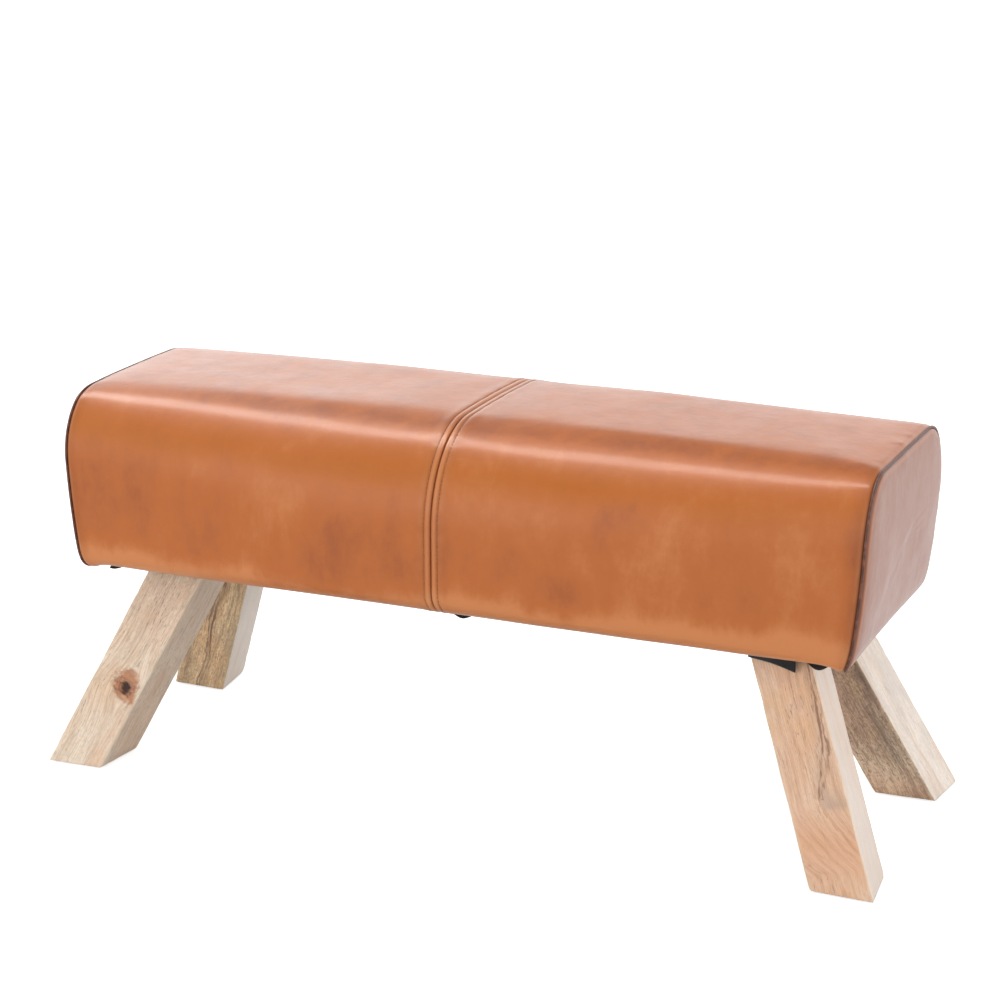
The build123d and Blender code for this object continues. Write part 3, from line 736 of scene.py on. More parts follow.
def tone_of(points):
    """The leather's tone: brighter low on the sides as painted light from the floor, a streak of painted
    shade along the shoulders where the reflection has a dark gap, darker on the top, with the patches.

    The back has the front's patches turned about, a little weaker.
    """
    x, y, z = points[..., 0], points[..., 1], points[..., 2]
    side = np.clip(np.abs(y) / 0.16, 0, 1) ** 6
    # painted light from the floor: brighter low on the sides, and darker at mid-height
    tone = 1.1 * side * bump(z - BLOCK_BOTTOM - 8 * MM, 22 * MM) - 0.25 * side * bump(z - 0.34, 0.05)
    # painted shade: a dark streak along the shoulders, above the highlight, weaker towards the left end
    streak = bump(z - (TOP_MIDDLE - 7 * MM), 6 * MM) * bump(np.abs(y) - 0.115, 0.030)
    tone = tone - 0.7 * streak * np.clip((x + 0.42) / 0.15, 0.1, 1) + 0.12 * (x > 0)
    tone = tone - 0.45 * np.clip((z - TOP_MIDDLE + 9 * MM) / (5 * MM), 0, 1)
    for px, pz, wide, high, strength in PATCHES:
        tone = tone + strength * (y < -0.08) * bump(x - px, wide) * bump(z - pz, high)
        tone = tone + 0.8 * strength * (y > 0.08) * bump(x + px, wide) * bump(z - pz, high)
    tone = tone - 0.5 * bump(x - 30 * MM, 30 * MM) * (z > TOP_MIDDLE - 30 * MM)
    return tone


def amber_of(points):
    """A clear amber band high on the sides, strongest towards the left."""
    x, y, z = points[..., 0], points[..., 1], points[..., 2]
    cloud = 0.65 + 0.35 * noise(points, (90 * MM, 60 * MM, 30 * MM), 101)
    band = bump(z - 0.436 + 0.008 * noise(points, (70 * MM, 70 * MM, 200 * MM), 103), 0.019)
    return np.clip(cloud * band * (np.abs(y) > 0.1) * (0.85 - 0.5 * x), 0, 1)


def skin_detail(grid, arc):
    """What the seams do to a cover: (push along the normal, painted shade in the creases, paleness on the
    ridges that is partly stretched leather and partly painted highlight).
    """
    seam = np.abs(grid[..., 0])
    end = half_length(grid[..., 2]) - seam
    stitch_wave = 0.8 + 0.2 * np.cos(2 * np.pi * arc / STITCH_PITCH)
    zeros = np.zeros_like(arc)
    tuck = noise(np.stack([arc, zeros, zeros], -1), 9 * MM, 31)
    tuck_end = noise(np.stack([arc, zeros, zeros + 1], -1), 13 * MM, 37)
    push = -1.6 * MM * bump(seam, 1.0 * MM)
    push += 0.60 * MM * bump(seam - 4.5 * MM, 2.4 * MM)
    push -= 0.50 * MM * bump(seam - STITCH_ROW, 1.0 * MM) * stitch_wave
    push += 0.5 * MM * bump(seam - 14 * MM, 5 * MM)
    push += 0.22 * MM * bump(seam - 12 * MM, 7 * MM) * tuck
    push -= WELT * np.exp(-(np.maximum(end - WELT, 0) / (2.2 * MM)) ** 1.5)
    push += 0.7 * MM * bump(end - 9 * MM, 4.5 * MM)
    push += 0.35 * MM * bump(end - 11 * MM, 8 * MM) * tuck_end
    # painted shade in the seam's groove and the stitch holes, less on the top, and along the piping's groove
    # with a wider darker band beside it
    crease = 0.75 * bump(seam, 0.9 * MM) + 0.26 * bump(seam - STITCH_ROW, 0.8 * MM) * stitch_wave
    crease = crease * (1 - 0.5 * np.clip((grid[..., 2] - TOP_MIDDLE + 25 * MM) / (20 * MM), 0, 1))
    crease = crease + 0.75 * bump(end - WELT, 1.2 * MM) + 0.26 * bump(end - WELT, 11 * MM)
    crease = crease + 0.10 * bump(seam - 10 * MM, 9 * MM)
    # lighter ridges beside the seam and the piping: partly stretched leather, partly painted highlight
    pale = 0.8 * bump(seam - 4.4 * MM, 2.2 * MM) + 0.3 * bump(seam - 13 * MM, 4 * MM) * (0.6 + 0.4 * tuck)
    pale = pale + 0.5 * bump(end - 5.5 * MM, 2.0 * MM) * (0.7 + 0.3 * tuck_end)
    return push, np.clip(crease, 0, 1), np.clip(pale, 0, 1)


def arcs(grid):
    """Distance round the block from the front's underside, for every grid point."""
    step = np.linalg.norm(np.diff(grid, axis=1), axis=2)
    return np.concatenate([np.zeros((grid.shape[0], 1)), np.cumsum(step, axis=1)], axis=1)


def dressed(grid, stations):
    """The skin with its swell, seam detail and sag, and the two shades that go with it."""
    push, crease, pale = skin_detail(grid, arcs(grid))
    push = push + swell_at(stations)
    return pushed(grid, push), crease, pale


def cover_stations():
    """Stations of a cover's columns from the seam to its end: close together at both.

    from_seam, middle and from_end are millimetres.
    """
    from_seam = [0.05, 0.35, 0.8, 1.4, 2.1, 3, 4, 5, 6, 7, 7.7, 8.1, 8.5, 8.9, 9.4, 10.3, 12, 14.5, 18, 22]
    from_end = [15, 12, 9.5, 7.6, 6.2, 5.2, 4.4, 3.8, 3.3, 2.9, 2.5, 2.2]
    reach = HALF_LENGTH_MIDDLE / MM
    middle = np.linspace(26, reach - 19, 100)
    return np.concatenate([from_seam, middle, reach - np.array(from_end)]) / reach


def make_cover(side_name):
    """One side's leather wrap, from the middle seam to the end."""
    side = SIDES[side_name]
    stations = cover_stations() * side
    if side < 0:
        stations = stations[::-1]
    grid = skin_grid(stations)
    skin, crease, pale = dressed(grid, stations)
    faces = grid_faces(ROWS, len(stations))
    piece = make_piece(f"{side_name}_cover_leather", skin.reshape(-1, 3), faces, LEATHER_SKIN)
    add_value(piece, "tone", tone_of(grid))
    add_value(piece, "amber", amber_of(grid))
    add_value(piece, "crease", crease)
    add_value(piece, "pale", pale)
    thicken(piece, LEATHER)
    stand_for(piece, "leather_tan", f"cover_{side_name}")


def tube(centre, upward, thickness, around, start=0):
    """A round bar along a line of points: vertices and faces, its ends closed."""
    forward = np.gradient(centre, axis=0)
    forward /= np.linalg.norm(forward, axis=1, keepdims=True)
    across = np.cross(upward, forward)
    turns = 2 * math.pi * np.arange(around) / around
    off = np.cos(turns)[None, :, None] * upward[:, None] + np.sin(turns)[None, :, None] * across[:, None]
    vertices = (centre[:, None] + np.reshape(thickness, (-1, 1, 1)) * off).reshape(-1, 3)
    faces = grid_faces(around, len(centre), closed_rows=True, start=start)
    last = start + around * (len(centre) - 1)
    faces.append(tuple(start + i for i in range(around)))
    faces.append(tuple(last + i for i in reversed(range(around))))
    return list(vertices), faces


def make_stitches():
    """Two rows of topstitches beside the middle seam, as short arched threads."""
    vertices, faces = [], []
    along = np.linspace(0, 1, 7)
    for side in (-1, 1):
        stations = side * STITCH_ROW / HALF_LENGTH_MIDDLE + np.array([-0.0015, 0, 0.0015])
        grid = skin_grid(stations)
        skin, _, _ = dressed(grid, stations)
        normals = grid_normals(skin)[1]
        line = skin[1]
        arc = arcs(grid)[1]
        margin = 15 * MM
        count = int((arc[-1] - 2 * margin) / STITCH_PITCH)
        for index in range(count):
            start = margin + index * STITCH_PITCH
            places = start + STITCH_LENGTH * along
            centre = np.column_stack([np.interp(places, arc, line[:, i]) for i in range(3)])
            normal = np.column_stack([np.interp(places, arc, normals[:, i]) for i in range(3)])
            lift = (-0.35 + 0.85 * np.sin(math.pi * along) ** 0.6) * MM
            centre = centre + normal * lift[:, None]
            centre[:, 0] += 0.25 * MM * (along - 0.5)
            thick = THREAD_RADIUS * (0.75 + 0.25 * np.sin(math.pi * along))
            more, around = tube(centre, normal, thick, 6, start=len(vertices))
            vertices += more
            faces += around
    piece = make_piece("seam_topstitches", vertices, faces, STITCHING)
    stand_for(piece, "thread", "seam_thread")


# ---- End panels and piping
def end_loop():
    """The end's closed outline, its outward normals, and where piping runs along it."""
    ring = outline(1.0)
    bottom = np.linspace(TURN_IN_Y, -TURN_IN_Y, 50)[1:-1]
    loop = np.vstack([ring, np.column_stack([bottom, np.full(48, BLOCK_BOTTOM)])])
    tangent = np.roll(loop, -1, axis=0) - np.roll(loop, 1, axis=0)
    normal = np.column_stack([-tangent[:, 1], tangent[:, 0]])
    normal /= np.linalg.norm(normal, axis=1, keepdims=True)
    under = loop[:, 1] < BLOCK_BOTTOM + 1 * MM
    piped = np.where(under, np.clip((np.abs(loop[:, 0]) - 122 * MM) / (8 * MM), 0, 1), 1.0)
    return loop, normal, piped


def panel_swell(loop, middle):
    """How far the end's padding pushes the panel out, at 22 even steps from edge to middle."""
    steps = np.linspace(0, 0.96, 22)
    flat = np.array([middle + (loop - middle) * (1 - t) for t in steps])
    x = half_length(flat[..., 1])
    points = np.concatenate([x[..., None], flat], axis=2).reshape(-1, 3)
    faces = grid_faces(len(loop), len(steps), closed_rows=True)
    last = len(loop) * (len(steps) - 1)
    faces.append(tuple(last + i for i in reversed(range(len(loop)))))
    held = np.arange(len(points)) < len(loop)
    blown = inflate(points, faces, held, PANEL_SWELL)
    return steps, (blown - points)[:, 0].reshape(len(steps), len(loop))


def make_end_panel(side_name):
    """A padded leather end: rings from its piped edge to its middle, and the fold under the block."""
    side = SIDES[side_name]
    loop, normal, piped = end_loop()
    edge = loop - normal * WELT
    middle = np.array([0.0, (BLOCK_BOTTOM + TOP_END) / 2])
    # rings from the edge (0) to the middle (1), close together at the edge
    fine = np.array([0, 0.4, 0.8, 1.3, 1.9, 2.7, 3.6, 4.8, 6.2, 8, 10, 12.5, 15.5, 19])
    steps = np.concatenate([fine, np.arange(23, 134, 4.5)]) / 139
    swell_steps, swell_x = panel_swell(edge, middle)
    depth = np.abs(np.sum((edge - middle) * normal, axis=1))
    tuck = noise(np.column_stack([edge, np.full(len(edge), 0.3)]), 14 * MM, 41)
    rings, creases, pales = [], [], []
    for t in steps:
        flat = middle + (edge - middle) * (1 - t)
        inside = t * depth
        out = blend_rows(swell_x, swell_steps, t)
        out = out + 3.0 * MM * (1 - np.exp(-inside / (6 * MM)))
        out = out - WELT * piped * np.exp(-((inside / (2.0 * MM)) ** 1.5))
        out = out + 0.4 * MM * tuck * bump(inside - 9 * MM, 7 * MM)
        rings.append(np.column_stack([side * (half_length(flat[:, 1]) + out), flat]))
        # painted shade in the groove along the piping
        creases.append(np.clip(0.8 * piped * bump(inside, 1.3 * MM) + 0.3 * bump(inside, 7 * MM), 0, 1))
        pales.append(0.5 * bump(inside - 6 * MM, 3 * MM))
    grid = settle(np.array(rings))
    count = len(loop)
    vertices = list(grid.reshape(-1, 3))
    faces = grid_faces(count, len(steps), closed_rows=True, flip=side < 0)
    last = count * (len(steps) - 1)
    centre = len(vertices)
    vertices.append(grid[-1].mean(axis=0))
    for i in range(count):
        tri = (last + i, centre, last + (i + 1) % count)
        faces.append(tri if side > 0 else tri[::-1])
    # the panel's lower edge folds under the block and runs in to where it is stapled
    run = list(range(ROWS - 1, count)) + [0]
    fold = [(0.5, 0.9), (2.0, 0.1)] + [(inward, 0.0) for inward in np.linspace(5, 33, 7)]  # millimetres
    previous = run
    for inward, rise in fold:
        x = side * (HALF_LENGTH_BOTTOM - inward * MM)
        z = BLOCK_BOTTOM + rise * MM
        row = list(range(len(vertices), len(vertices) + len(run)))
        vertices.extend(settle([(x, y, z) for y in edge[run, 0]]))
        for i in range(len(run) - 1):
            quad = (previous[i], previous[i + 1], row[i + 1], row[i])
            faces.append(quad if side > 0 else quad[::-1])
        previous = row
    piece = make_piece(f"{side_name}_end_leather", vertices, faces, LEATHER_END)
    unshaded = np.zeros(len(vertices) - grid[..., 0].size)
    add_value(piece, "crease", np.concatenate([*creases, unshaded]))
    add_value(piece, "pale", np.concatenate([*pales, unshaded]))
    # painted shade: the whole end panel a little darker
    add_value(piece, "tone", np.full(len(vertices), -0.2))
    thicken(piece, LEATHER)
    stand_for(piece, "leather_tan", f"end_panel_{side_name}")


def make_piping(side_name):
    """The rolled edge that stands in the groove between cover and end panel, with the cord inside it."""
    side = SIDES[side_name]
    loop, normal, piped = end_loop()
    keep = np.flatnonzero(piped[:ROWS] > 0.6)
    sunk = 1.2 * MM
    line = (loop - normal * sunk)[keep]
    x = side * (half_length(line[:, 1]) - sunk)
    centre = settle(np.column_stack([x, line]))
    outward = np.column_stack([np.zeros(len(keep)), normal[keep]])
    thick = PIPING_RADIUS * (1 + 0.07 * noise(centre, 7 * MM, 51))
    piece = make_piece(f"{side_name}_piping_leather", *tube(centre, outward, thick, 12), PIPING)
    stand_for(piece, "leather_piping", f"piping_{side_name}")
    inner = slice(2, -2)
    cord = tube(centre[inner], outward[inner], np.full(len(keep) - 4, 1.0 * MM), 8)
    piece = make_piece(f"{side_name}_piping_cord", *cord, COTTON)
    stand_for(piece, "cotton", f"piping_cord_{side_name}")


# ---- Padding under the leather
def make_seam_tape():
    """Cotton tape glued over the middle seam from inside."""
    x = np.array([-15, -12, -9.5, -8.5, -7.5, -5, -3, -1.5, 0, 1.5, 3, 5, 7.5, 8.5, 9.5, 12, 15]) * MM
    stations = x / HALF_LENGTH_MIDDLE
    grid = skin_grid(stations)
    push, _, _ = skin_detail(grid, arcs(grid))
    push = push + swell_at(stations) - LEATHER - 0.15 * MM
    faces = grid_faces(ROWS, len(stations))
    piece = make_piece("seam_cotton_tape", pushed(grid, push).reshape(-1, 3), faces, COTTON)
    thicken(piece, 0.6 * MM)
    stand_for(piece, "cotton", "seam_tape")


def make_wadding():
    """The wadding between foam and leather, wrapped over the block and down both ends."""
    last_station = 0.993
    stations = np.linspace(-last_station, last_station, 150)
    grid = skin_grid(stations)
    seam = np.abs(grid[..., 0])
    end = half_length(grid[..., 2]) - seam
    fluff = 0.25 * MM * noise(grid, 9 * MM, 81)
    push = swell_at(stations) - 2.5 * MM - 2.6 * MM * bump(seam, 4 * MM) - 1.1 * MM * bump(seam, 17 * MM)
    push = push - 3.2 * MM * bump(end, 9 * MM) + fluff
    columns = [list(ring) for ring in pushed(grid, push)]
    centre = np.array([0.0, BLOCK_BOTTOM + 0.4 * MM])
    ring = outline(last_station)
    for side in (1, -1):
        caps = []
        for t in (0.05, 0.09, 0.15, 0.23, 0.33, 0.45, 0.58, 0.72, 0.86, 0.97):
            flat = centre + (ring - centre) * (1 - t)
            x = side * (half_length(flat[:, 1]) - 1.2 * MM - 3.0 * MM * math.exp(-t / 0.07))
            caps.append(list(settle(np.column_stack([x, flat]))))
        columns = columns + caps if side > 0 else caps[::-1] + columns
    vertices = np.array(columns).reshape(-1, 3)
    # its lower edge stops above the leather that is folded under
    vertices[:, 2] = np.maximum(vertices[:, 2], BLOCK_BOTTOM + 3 * MM)
    piece = make_piece("wadding_sheet", vertices, grid_faces(ROWS, len(columns)), WADDING)
    thicken(piece, 1.8 * MM)
    stand_for(piece, "wadding", "wadding_wrap")


# ---- Dust cloth
DUST_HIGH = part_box("dust_cover")[1]
STAPLE_PITCH = 60 * MM
# Places where the cloth's front edge hangs loose: x, half-width, drop
LOOSE = ((-0.471, 0.018, 0.0098), (0.010, 0.016, 0.0112), (0.449, 0.015, 0.0118))
FLAP_LEFT = 0.3605  # the loose corner before the front right leg
FLAP_WIDTH = 0.0565


def make_dust_cloth():
    """Black cloth stapled under the block, open round the plates, slack between its staples."""
    half_x, half_y = DUST_HIGH[0], DUST_HIGH[1]
    top = DUST_HIGH[2] - 0.2 * MM
    x = np.linspace(-half_x, half_x, 270)
    y = np.linspace(-half_y, half_y, 76)
    gx, gy = np.meshgrid(x, y, indexing="ij")
    sag = 3.0 * MM * (1 - (gx / half_x) ** 2) * (1 - (gy / half_y) ** 2)
    flat = np.stack([gx, gy, np.zeros_like(gx)], -1)
    sag = sag + 0.9 * MM * (1 + noise(flat, (90 * MM, 60 * MM, 1), 61))
    scallop = 0.9 * MM * (1 - np.cos(2 * np.pi * gx / STAPLE_PITCH))
    sag = sag + scallop * bump(half_y - np.abs(gy), 14 * MM)
    for place, wide, drop in LOOSE:
        sag = sag + drop * bump(gx - place, wide) * bump(gy + half_y, 8 * MM)
    vertices = list(np.stack([gx, gy, top - sag], -1).reshape(-1, 3))
    gap = 4 * MM
    openings = []
    for corner in TIMBER:
        low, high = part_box(f"leg_plate_{corner}")
        openings.append((low[0] - gap, high[0] + gap, low[1] - gap, high[1] + gap))
    faces = []
    for quad in grid_faces(len(y), len(x), flip=True):
        centre = np.mean([vertices[i] for i in quad], axis=0)
        if not any(a < centre[0] < b and c < centre[1] < d for a, b, c, d in openings):
            faces.append(quad)
    # the loose corner that hangs down in front of the front right leg
    edge_y = openings[list(TIMBER).index("front_right")][2]
    start = len(vertices)
    across = np.linspace(0, 1, 26)
    down = np.linspace(0, 1, 12)
    for u in across:
        for d in down:
            drop = (15.5 + 11.5 * u) * MM * d
            curl = 2.2 * MM * math.sin(5 * u + 2.2 * d) * d
            x = FLAP_LEFT + FLAP_WIDTH * u + 1 * MM * d
            vertices.append((x, edge_y - 1 * MM - curl, top - 1 * MM - drop))
    faces += grid_faces(len(down), len(across), flip=True, start=start)
    used, corners = np.unique(faces, return_inverse=True)
    faces = corners.reshape(-1, 4)
    piece = make_piece("underside_dust_cloth", [vertices[i] for i in used], faces, DUST_CLOTH)
    thicken(piece, 0.5 * MM)
    stand_for(piece, "dust_fabric", "dust_cover")


# ---- Legs
def leg_axes():
    """The back right leg's own axes: across, across, along."""
    along = np.array([-LEG_SPLAY[0], -LEG_SPLAY[1], 1.0])
    along /= np.linalg.norm(along)
    u = np.array([1.0, 0, 0]) - along * along[0]
    u /= np.linalg.norm(u)
    v = np.cross(along, u)
    c, s = math.cos(LEG_TWIST), math.sin(LEG_TWIST)
    return u * c + v * s, v * c - u * s, along


def square_ring(side, edge, steps):
    """A square with rounded corners, as points and outward normals."""
    half = side / 2
    inner = half - edge
    points, normals = [], []
    for quarter in range(4):
        turn = quarter * math.pi / 2
        c, s = math.cos(turn), math.sin(turn)
        local = [((half, t), (1.0, 0.0)) for t in np.linspace(-inner, inner, steps)]
        for angle in np.radians((15, 30, 45, 60, 75)):
            corner = (inner + edge * math.cos(angle), inner + edge * math.sin(angle))
            local.append((corner, (math.cos(angle), math.sin(angle))))
        for (a, b), (na, nb) in local:
            points.append((a * c - b * s, a * s + b * c))
            normals.append((na * c - nb * s, na * s + nb * c))
    return np.array(points), np.array(normals)


def leg_grid(side, edge, steps, low, high, rows):
    """A bar on the back right leg's axis, cut level at low and high: points, normals, own coordinates."""
    u, v, along = leg_axes()
    foot = np.array([LEG_FOOT[0], LEG_FOOT[1], 0.0])
    ring, ring_normals = square_ring(side, edge, steps)
    offset = ring[:, :1] * u + ring[:, 1:] * v
    base = foot + offset
    bottom = (low - base[:, 2]) / along[2]
    top = (high - base[:, 2]) / along[2]
    reach = bottom + (top - bottom) * rows[:, None]
    points = base[None] + reach[..., None] * along
    normals = ring_normals[:, :1] * u + ring_normals[:, 1:] * v
    own = np.concatenate([np.broadcast_to(ring, (len(rows), *ring.shape)), reach[..., None]], axis=2)
    return points, normals, own


def closed_bar(points, mirrored):
    """A bar from its rings of points, (rows, columns, 3), with a fan of faces over each end."""
    row_count, count = points.shape[:2]
    vertices = list(points.reshape(-1, 3))
    faces = grid_faces(count, row_count, closed_rows=True, flip=not mirrored)
    for row, down in ((0, True), (row_count - 1, False)):
        hub = len(vertices)
        vertices.append(points[row].mean(axis=0))
        for i in range(count):
            tri = (row * count + i, row * count + (i + 1) % count, hub)
            faces.append(tri if down == mirrored else tri[::-1])
    return vertices, faces


def mirror_to(corner):
    """Factors of x, y and z that take the back right leg to this corner, and whether they mirror it."""
    face_name, side_name = corner.split("_")
    flip = np.array([SIDES[side_name], FACES[face_name], 1.0])
    return flip, flip[0] * flip[1] < 0


NO_VEIN = 99.0  # millimetres from the vein: too far for it to show
HUB_SHADE = 99.0  # past the range of every shade, on the hidden hubs of a leg's ends
KNOT = np.array([-0.4435, -0.1545, 0.103])
KNOT_GLEAM = (-0.4455, 0.0905)  # x and z of the painted highlight under the knot
VEIN_HEIGHTS = (0.08, 0.10, 0.12, 0.16, 0.20, 0.26)
VEIN_ACROSS = (-2, 3, 10, 23, 27, 30)  # millimetres across the face at those heights


def mark_front_left(leg):
    """A sunken knot that the grain flows round, with a painted highlight under it, a darker upper part and a
    blush at the foot's left.
    """
    z, across = leg.z, leg.across
    reach = np.linalg.norm((leg.world - KNOT) * np.array([1.0, 1.0, 0.8]), axis=2)
    swollen = 0.9 * MM * bump(reach, 17 * MM) - 2.4 * MM * bump(reach, 5.0 * MM)
    leg.push = leg.push + swollen * leg.front
    aside = across - np.sum((KNOT * leg.flip - [*LEG_FOOT, 0]) * leg_axes()[0])
    leg.own[..., 0] -= 9 * MM * np.tanh(aside / (7 * MM)) * bump(z - KNOT[2], 0.030)
    from_gleam = np.hypot(leg.world[..., 0] - KNOT_GLEAM[0], (z - KNOT_GLEAM[1]) * 1.1)
    left_part = np.clip((-across - 5 * MM) / (20 * MM), 0, 1)
    leg.shades.update(
        knot=np.where(leg.front, reach, 1.0),
        # a painted highlight under the knot
        gleam=leg.front * bump(from_gleam, 3.6 * MM),
        figure=0.22 * leg.front * np.clip((z - 0.14) / 0.08, 0, 1),
        blush=0.35 * leg.front * bump(z - 0.03, 0.03) * left_part,
    )


def mark_front_right(leg):
    """A leaning vein, a blush and curled grain below it, an ashen corner, and painted light on the right
    face, tinted grey.
    """
    z, across = leg.z, leg.across
    vein = (across - np.interp(z, VEIN_HEIGHTS, VEIN_ACROSS) * MM) / MM
    vein = np.where(leg.front, vein, NO_VEIN)
    past_end = np.clip((0.10 - z) / 0.02, 0, 1)
    vein = np.where(vein < 0, -1, 1) * np.hypot(vein, NO_VEIN * past_end)
    turn = np.clip((0.095 + 0.3 * across - z) / 0.05, 0, 1.4)
    leg.own[..., 0] -= 26 * MM * turn**1.6 * leg.front
    edge = 0.090 + 0.25 * across
    wander = 4 * MM * noise(leg.world, (9 * MM, 9 * MM, 12 * MM), 7)
    beside = np.clip((across - 3 * MM + wander) / (5 * MM), 0, 1)
    inside = beside * np.clip((z - edge + 5 * MM) / (5 * MM), 0, 1)
    leg.shades.update(
        vein=vein,
        figure=leg.front * bump(np.hypot(across - 24 * MM, z - 0.245), 4.0 * MM),
        # on the right face this greys the painted light
        ash=0.8 * leg.front * inside * np.clip((0.118 - z) / 0.020, 0, 1) + 0.45 * leg.right,
        blush=leg.front * (0.85 * bump(z - 0.050, 0.038) + 0.30),
        sap=0.8 * leg.right,
    )


def mark_back_left(leg):
    """A vein that wanders along the dark faces, a darker band beside it, and painted light on the right
    face.
    """
    sway = 7 * noise(leg.world, (30 * MM, 30 * MM, 45 * MM), 9)
    leg.shades.update(
        vein=(leg.across + 4 * MM) / MM + sway + NO_VEIN * leg.right,
        figure=0.35 * bump(leg.across - 22 * MM, 12 * MM) * ~leg.right,
        sap=0.9 * leg.right,
    )


def mark_back_right(leg):
    """A front a little darker above its foot, which blushes, the darkness partly painted shade under the
    block, and painted light on the right face.
    """
    leg.shades.update(
        # darker above the foot: partly dark grain, partly painted shade under the block
        figure=0.15 * leg.front * np.clip((leg.z - 0.03) / 0.06, 0, 1),
        blush=0.35 * leg.front * bump(leg.z - 0.01, 0.03),
        sap=0.75 * leg.right,
    )


LEG_MARKS = {
    "front_left": mark_front_left,
    "front_right": mark_front_right,
    "back_left": mark_back_left,
    "back_right": mark_back_right,
}


def make_leg(corner):
    """A splayed timber leg: softened and nicked arrises, ripples along the grain, and its own marks."""
    flip, mirrored = mirror_to(corner)
    seed = list(TIMBER).index(corner) * 17 + 5
    rows = np.concatenate([[0, 0.004, 0.010], np.linspace(0.02, 0.985, 110), [0.995, 1.0]])
    points, normals, own = leg_grid(LEG_SIDE, LEG_EDGE, 26, PAD_TOP, PLATE_UNDERSIDE, rows)
    ripple = noise(own + seed, (7 * MM, 7 * MM, 90 * MM), seed)
    dents = noise(own + seed, (24 * MM, 24 * MM, 34 * MM), seed + 1)
    arris = np.clip(1 - np.abs(np.abs(own[..., 0]) - np.abs(own[..., 1])) / (5 * MM), 0, 1)
    nick = np.clip(noise(own + 2 * seed, (9 * MM, 9 * MM, 14 * MM), seed + 2) - 0.25, 0, 1)
    chamfer = 0.8 * MM * np.exp(-rows / 0.006)[:, None]
    world = points * flip
    leg = SimpleNamespace(
        flip=flip,
        world=world,
        z=world[..., 2],
        across=own[..., 0].copy(),
        own=own,
        push=0.18 * MM * ripple + 0.30 * MM * dents - 1.3 * MM * arris * nick - chamfer,
        front=(normals[:, 1] * flip[1] < -0.9)[None],
        right=(normals[:, 0] * flip[0] > 0.7)[None],
        shades={"figure": 0.0, "vein": NO_VEIN, "blush": 0.0, "ash": 0.0, "sap": 0.0},
    )
    LEG_MARKS[corner](leg)
    vertices, faces = closed_bar((points + normals[None] * leg.push[..., None]) * flip, mirrored)
    piece = make_piece(f"{corner}_leg_timber", vertices, faces, TIMBER[corner])
    add_vector(piece, "grain", np.vstack([leg.own.reshape(-1, 3), [0, 0, 0], [0, 0, 0.25]]))
    worn = (arris * (0.25 + 0.4 * nick)).ravel()
    add_value(piece, "worn", np.concatenate([worn, [0, 0]]))
    for name, shade in leg.shades.items():
        shade = np.broadcast_to(shade, leg.z.shape).ravel()
        add_value(piece, name, np.concatenate([shade, [HUB_SHADE, HUB_SHADE]]))
    for polygon in piece.data.polygons[-2 * points.shape[1] :]:
        polygon.use_smooth = False
    stand_for(piece, "mango_wood", f"leg_{corner}")


def make_foot_pad(corner):
    """A felt pad with softened edges under a foot."""
    flip, mirrored = mirror_to(corner)
    rows = np.array([0, 0.12, 0.35, 0.65, 0.88, 1.0])
    points, normals, own = leg_grid(PAD_SIDE, 3 * MM, 10, 0.0, PAD_TOP, rows)
    bulge = 0.5 * MM * np.sin(np.pi * rows)[:, None] - 0.4 * MM
    fuzz = 0.12 * MM * noise(own, 2.5 * MM, 71)
    points = (points + normals[None] * (bulge + fuzz)[..., None]) * flip
    points[..., 2] = np.maximum(points[..., 2], 0)
    piece = make_piece(f"{corner}_foot_felt", *closed_bar(points, mirrored), FELT, smooth=False)
    stand_for(piece, "felt", f"foot_pad_{corner}")


for side_name in SIDES:
    make_cover(side_name)
    make_end_panel(side_name)
    make_piping(side_name)
make_stitches()
make_seam_tape()
make_wadding()
make_dust_cloth()
for corner in TIMBER:
    make_leg(corner)
    make_foot_pad(corner)

# ---- Materials of the CAD nodes that stay
STAYING = {
    "board": board("birch_plywood", (0.62, 0.47, 0.30), (0.46, 0.31, 0.17), True),
    "pine": board("pine", (0.68, 0.51, 0.31), (0.52, 0.34, 0.17), False),
    "foam": foam_material(),
    "black_steel": steel("black_steel", (0.018, 0.018, 0.019), 0.5, 0.0, 3),
    "zinc_steel": steel("zinc_steel", (0.60, 0.61, 0.63), 0.34, 1.0, 8),
}
# The first of these parts found in a node's name decides its material
RULES = (
    ("foam", "foam"),
    ("corner_blocks", "pine"),
    ("bearer", "pine"),
    ("leg_plate_bolts", "zinc_steel"),
    ("leg_plate_washers", "zinc_steel"),
    ("leg_plate", "black_steel"),
    ("screws", "zinc_steel"),
    ("t_nuts", "zinc_steel"),
    ("staples", "zinc_steel"),
    ("board", "board"),
    ("rib", "board"),
)
for name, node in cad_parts.items():
    kind = next((kind for part, kind in RULES if part in name), None)
    if kind is not None:
        for holder in node.material_slots:
            holder.material = STAYING[kind]

# ---- Floor, light and camera
scene = bpy.context.scene
scene.view_settings.view_transform = "Standard"
WHITE = (1, 1, 1)


def make_floor():
    """A pale sweep, overexposed to the camera, and in reflections bright behind the bench and dim before."""
    bpy.ops.mesh.primitive_plane_add(size=40)
    floor = bpy.context.object
    floor.name = "studio_floor"
    n = material_nodes("studio_floor")
    speckle = n.noise(n.place(), 3.0, 3.0, 0.5)
    colour = n.mix(speckle, (0.76, 0.76, 0.76), (0.78, 0.78, 0.78))
    depth = n.axes(n.place())[1]
    seen = n.new("ShaderNodeLightPath").outputs
    reflected_glow = n.times(n.fit(depth, -0.4, 0.7, -0.33, 0.30), seen["Is Glossy Ray"])
    camera_glow = n.times(0.72, seen["Is Camera Ray"])
    glow = {"Emission_Color": WHITE, "Emission_Strength": n.add(reflected_glow, camera_glow)}
    floor.data.materials.append(n.finish(colour, 0.9, Specular_IOR_Level=0.1, **glow))


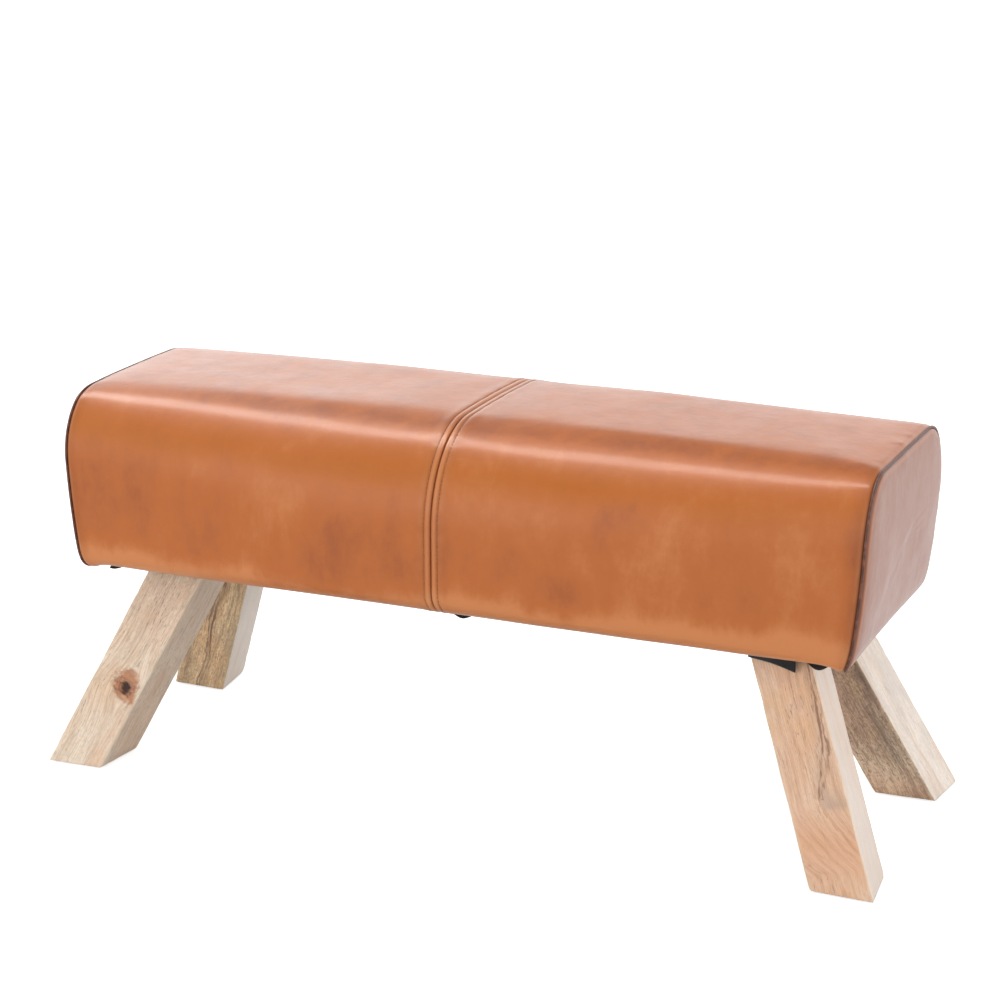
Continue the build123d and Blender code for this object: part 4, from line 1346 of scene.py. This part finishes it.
def make_room():
    """The room's light: dim before the bench, and behind it a bright wall, low down and to the left."""
    world = bpy.data.worlds.new("studio")
    scene.world = world
    n = Nodes(world)
    x, y, z = n.axes(n.new("ShaderNodeTexCoord").outputs["Generated"])
    edge = n.add(z, n.times(n.math("MINIMUM", x, -0.27), 0.9))
    wall = n.fit(edge, 0.09, 0.25, 1.40, 0.22)
    wall = n.add(wall, n.fit(x, -0.34, -0.50, 0.0, 0.30))
    wall = n.add(wall, n.fit(z, 0.86, 0.97, 0.0, 0.4))
    behind = n.fit(y, -0.35, 0.35)
    before = n.times(n.minus(1.0, behind), n.fit(z, 0.5, 0.8, 0.85, 0.3))
    background = n.tree.nodes["Background"].inputs
    n.put(background["Strength"], n.add(before, n.times(wall, behind)))
    n.put(background["Color"], WHITE)


def softbox(name, place, aim, wide, high, power, shine=False, along=(1, 0, 0)):
    """A rectangular studio light, wide along a direction, that gives only shine or only diffuse light."""
    light = bpy.data.lights.new(name, "AREA")
    light.shape = "RECTANGLE"
    light.size = wide
    light.size_y = high
    light.energy = power
    holder = bpy.data.objects.new(name, light)
    scene.collection.objects.link(holder)
    holder.visible_glossy = shine
    holder.visible_diffuse = not shine
    holder.location = place
    away = (Vector(place) - Vector(aim)).normalized()
    upward = away.cross(Vector(along)).normalized()
    holder.rotation_euler = Matrix((upward.cross(away), upward, away)).transposed().to_euler()


# The camera: azimuth from straight in front towards the right, elevation above the horizon
AZIMUTH = math.radians(23.26)
ELEVATION = math.radians(16.74)
ROLL = math.radians(-0.147)
DISTANCE = 3.248
LOOK_AT = Vector((-0.0031, 0.0172, 0.3518))
FOCAL_LENGTH = 95.3
SENSOR_WIDTH = 36


def make_camera():
    lens = bpy.data.cameras.new("camera")
    lens.lens = FOCAL_LENGTH
    lens.sensor_width = SENSOR_WIDTH
    camera = bpy.data.objects.new("camera", lens)
    scene.collection.objects.link(camera)
    level = math.cos(ELEVATION)
    back = Vector((math.sin(AZIMUTH) * level, -math.cos(AZIMUTH) * level, math.sin(ELEVATION)))
    camera.location = LOOK_AT + DISTANCE * back
    camera.rotation_euler = back.to_track_quat("Z", "Y").to_euler()
    camera.rotation_euler.rotate_axis("Z", ROLL)
    scene.camera = camera


make_floor()
# name, place, aim, width, height, watts
softbox("glint", (-0.95, 0.16, 2.6), (-0.1, 0.0, 0.4), 3.6, 0.46, 42, shine=True, along=(1, -0.34, 0))
softbox("overhead", (-0.5, 0.0, 2.6), (-0.1, 0.0, 0.4), 3.6, 0.50, 17)
softbox("key", (-3.5, -6.6, 2.1), (0, 0, 0.35), 3.0, 3.0, 172)
softbox("right", (5.0, 0.6, 1.8), (0.4, 0, 0.2), 2.0, 2.0, 100)
make_room()
make_camera()
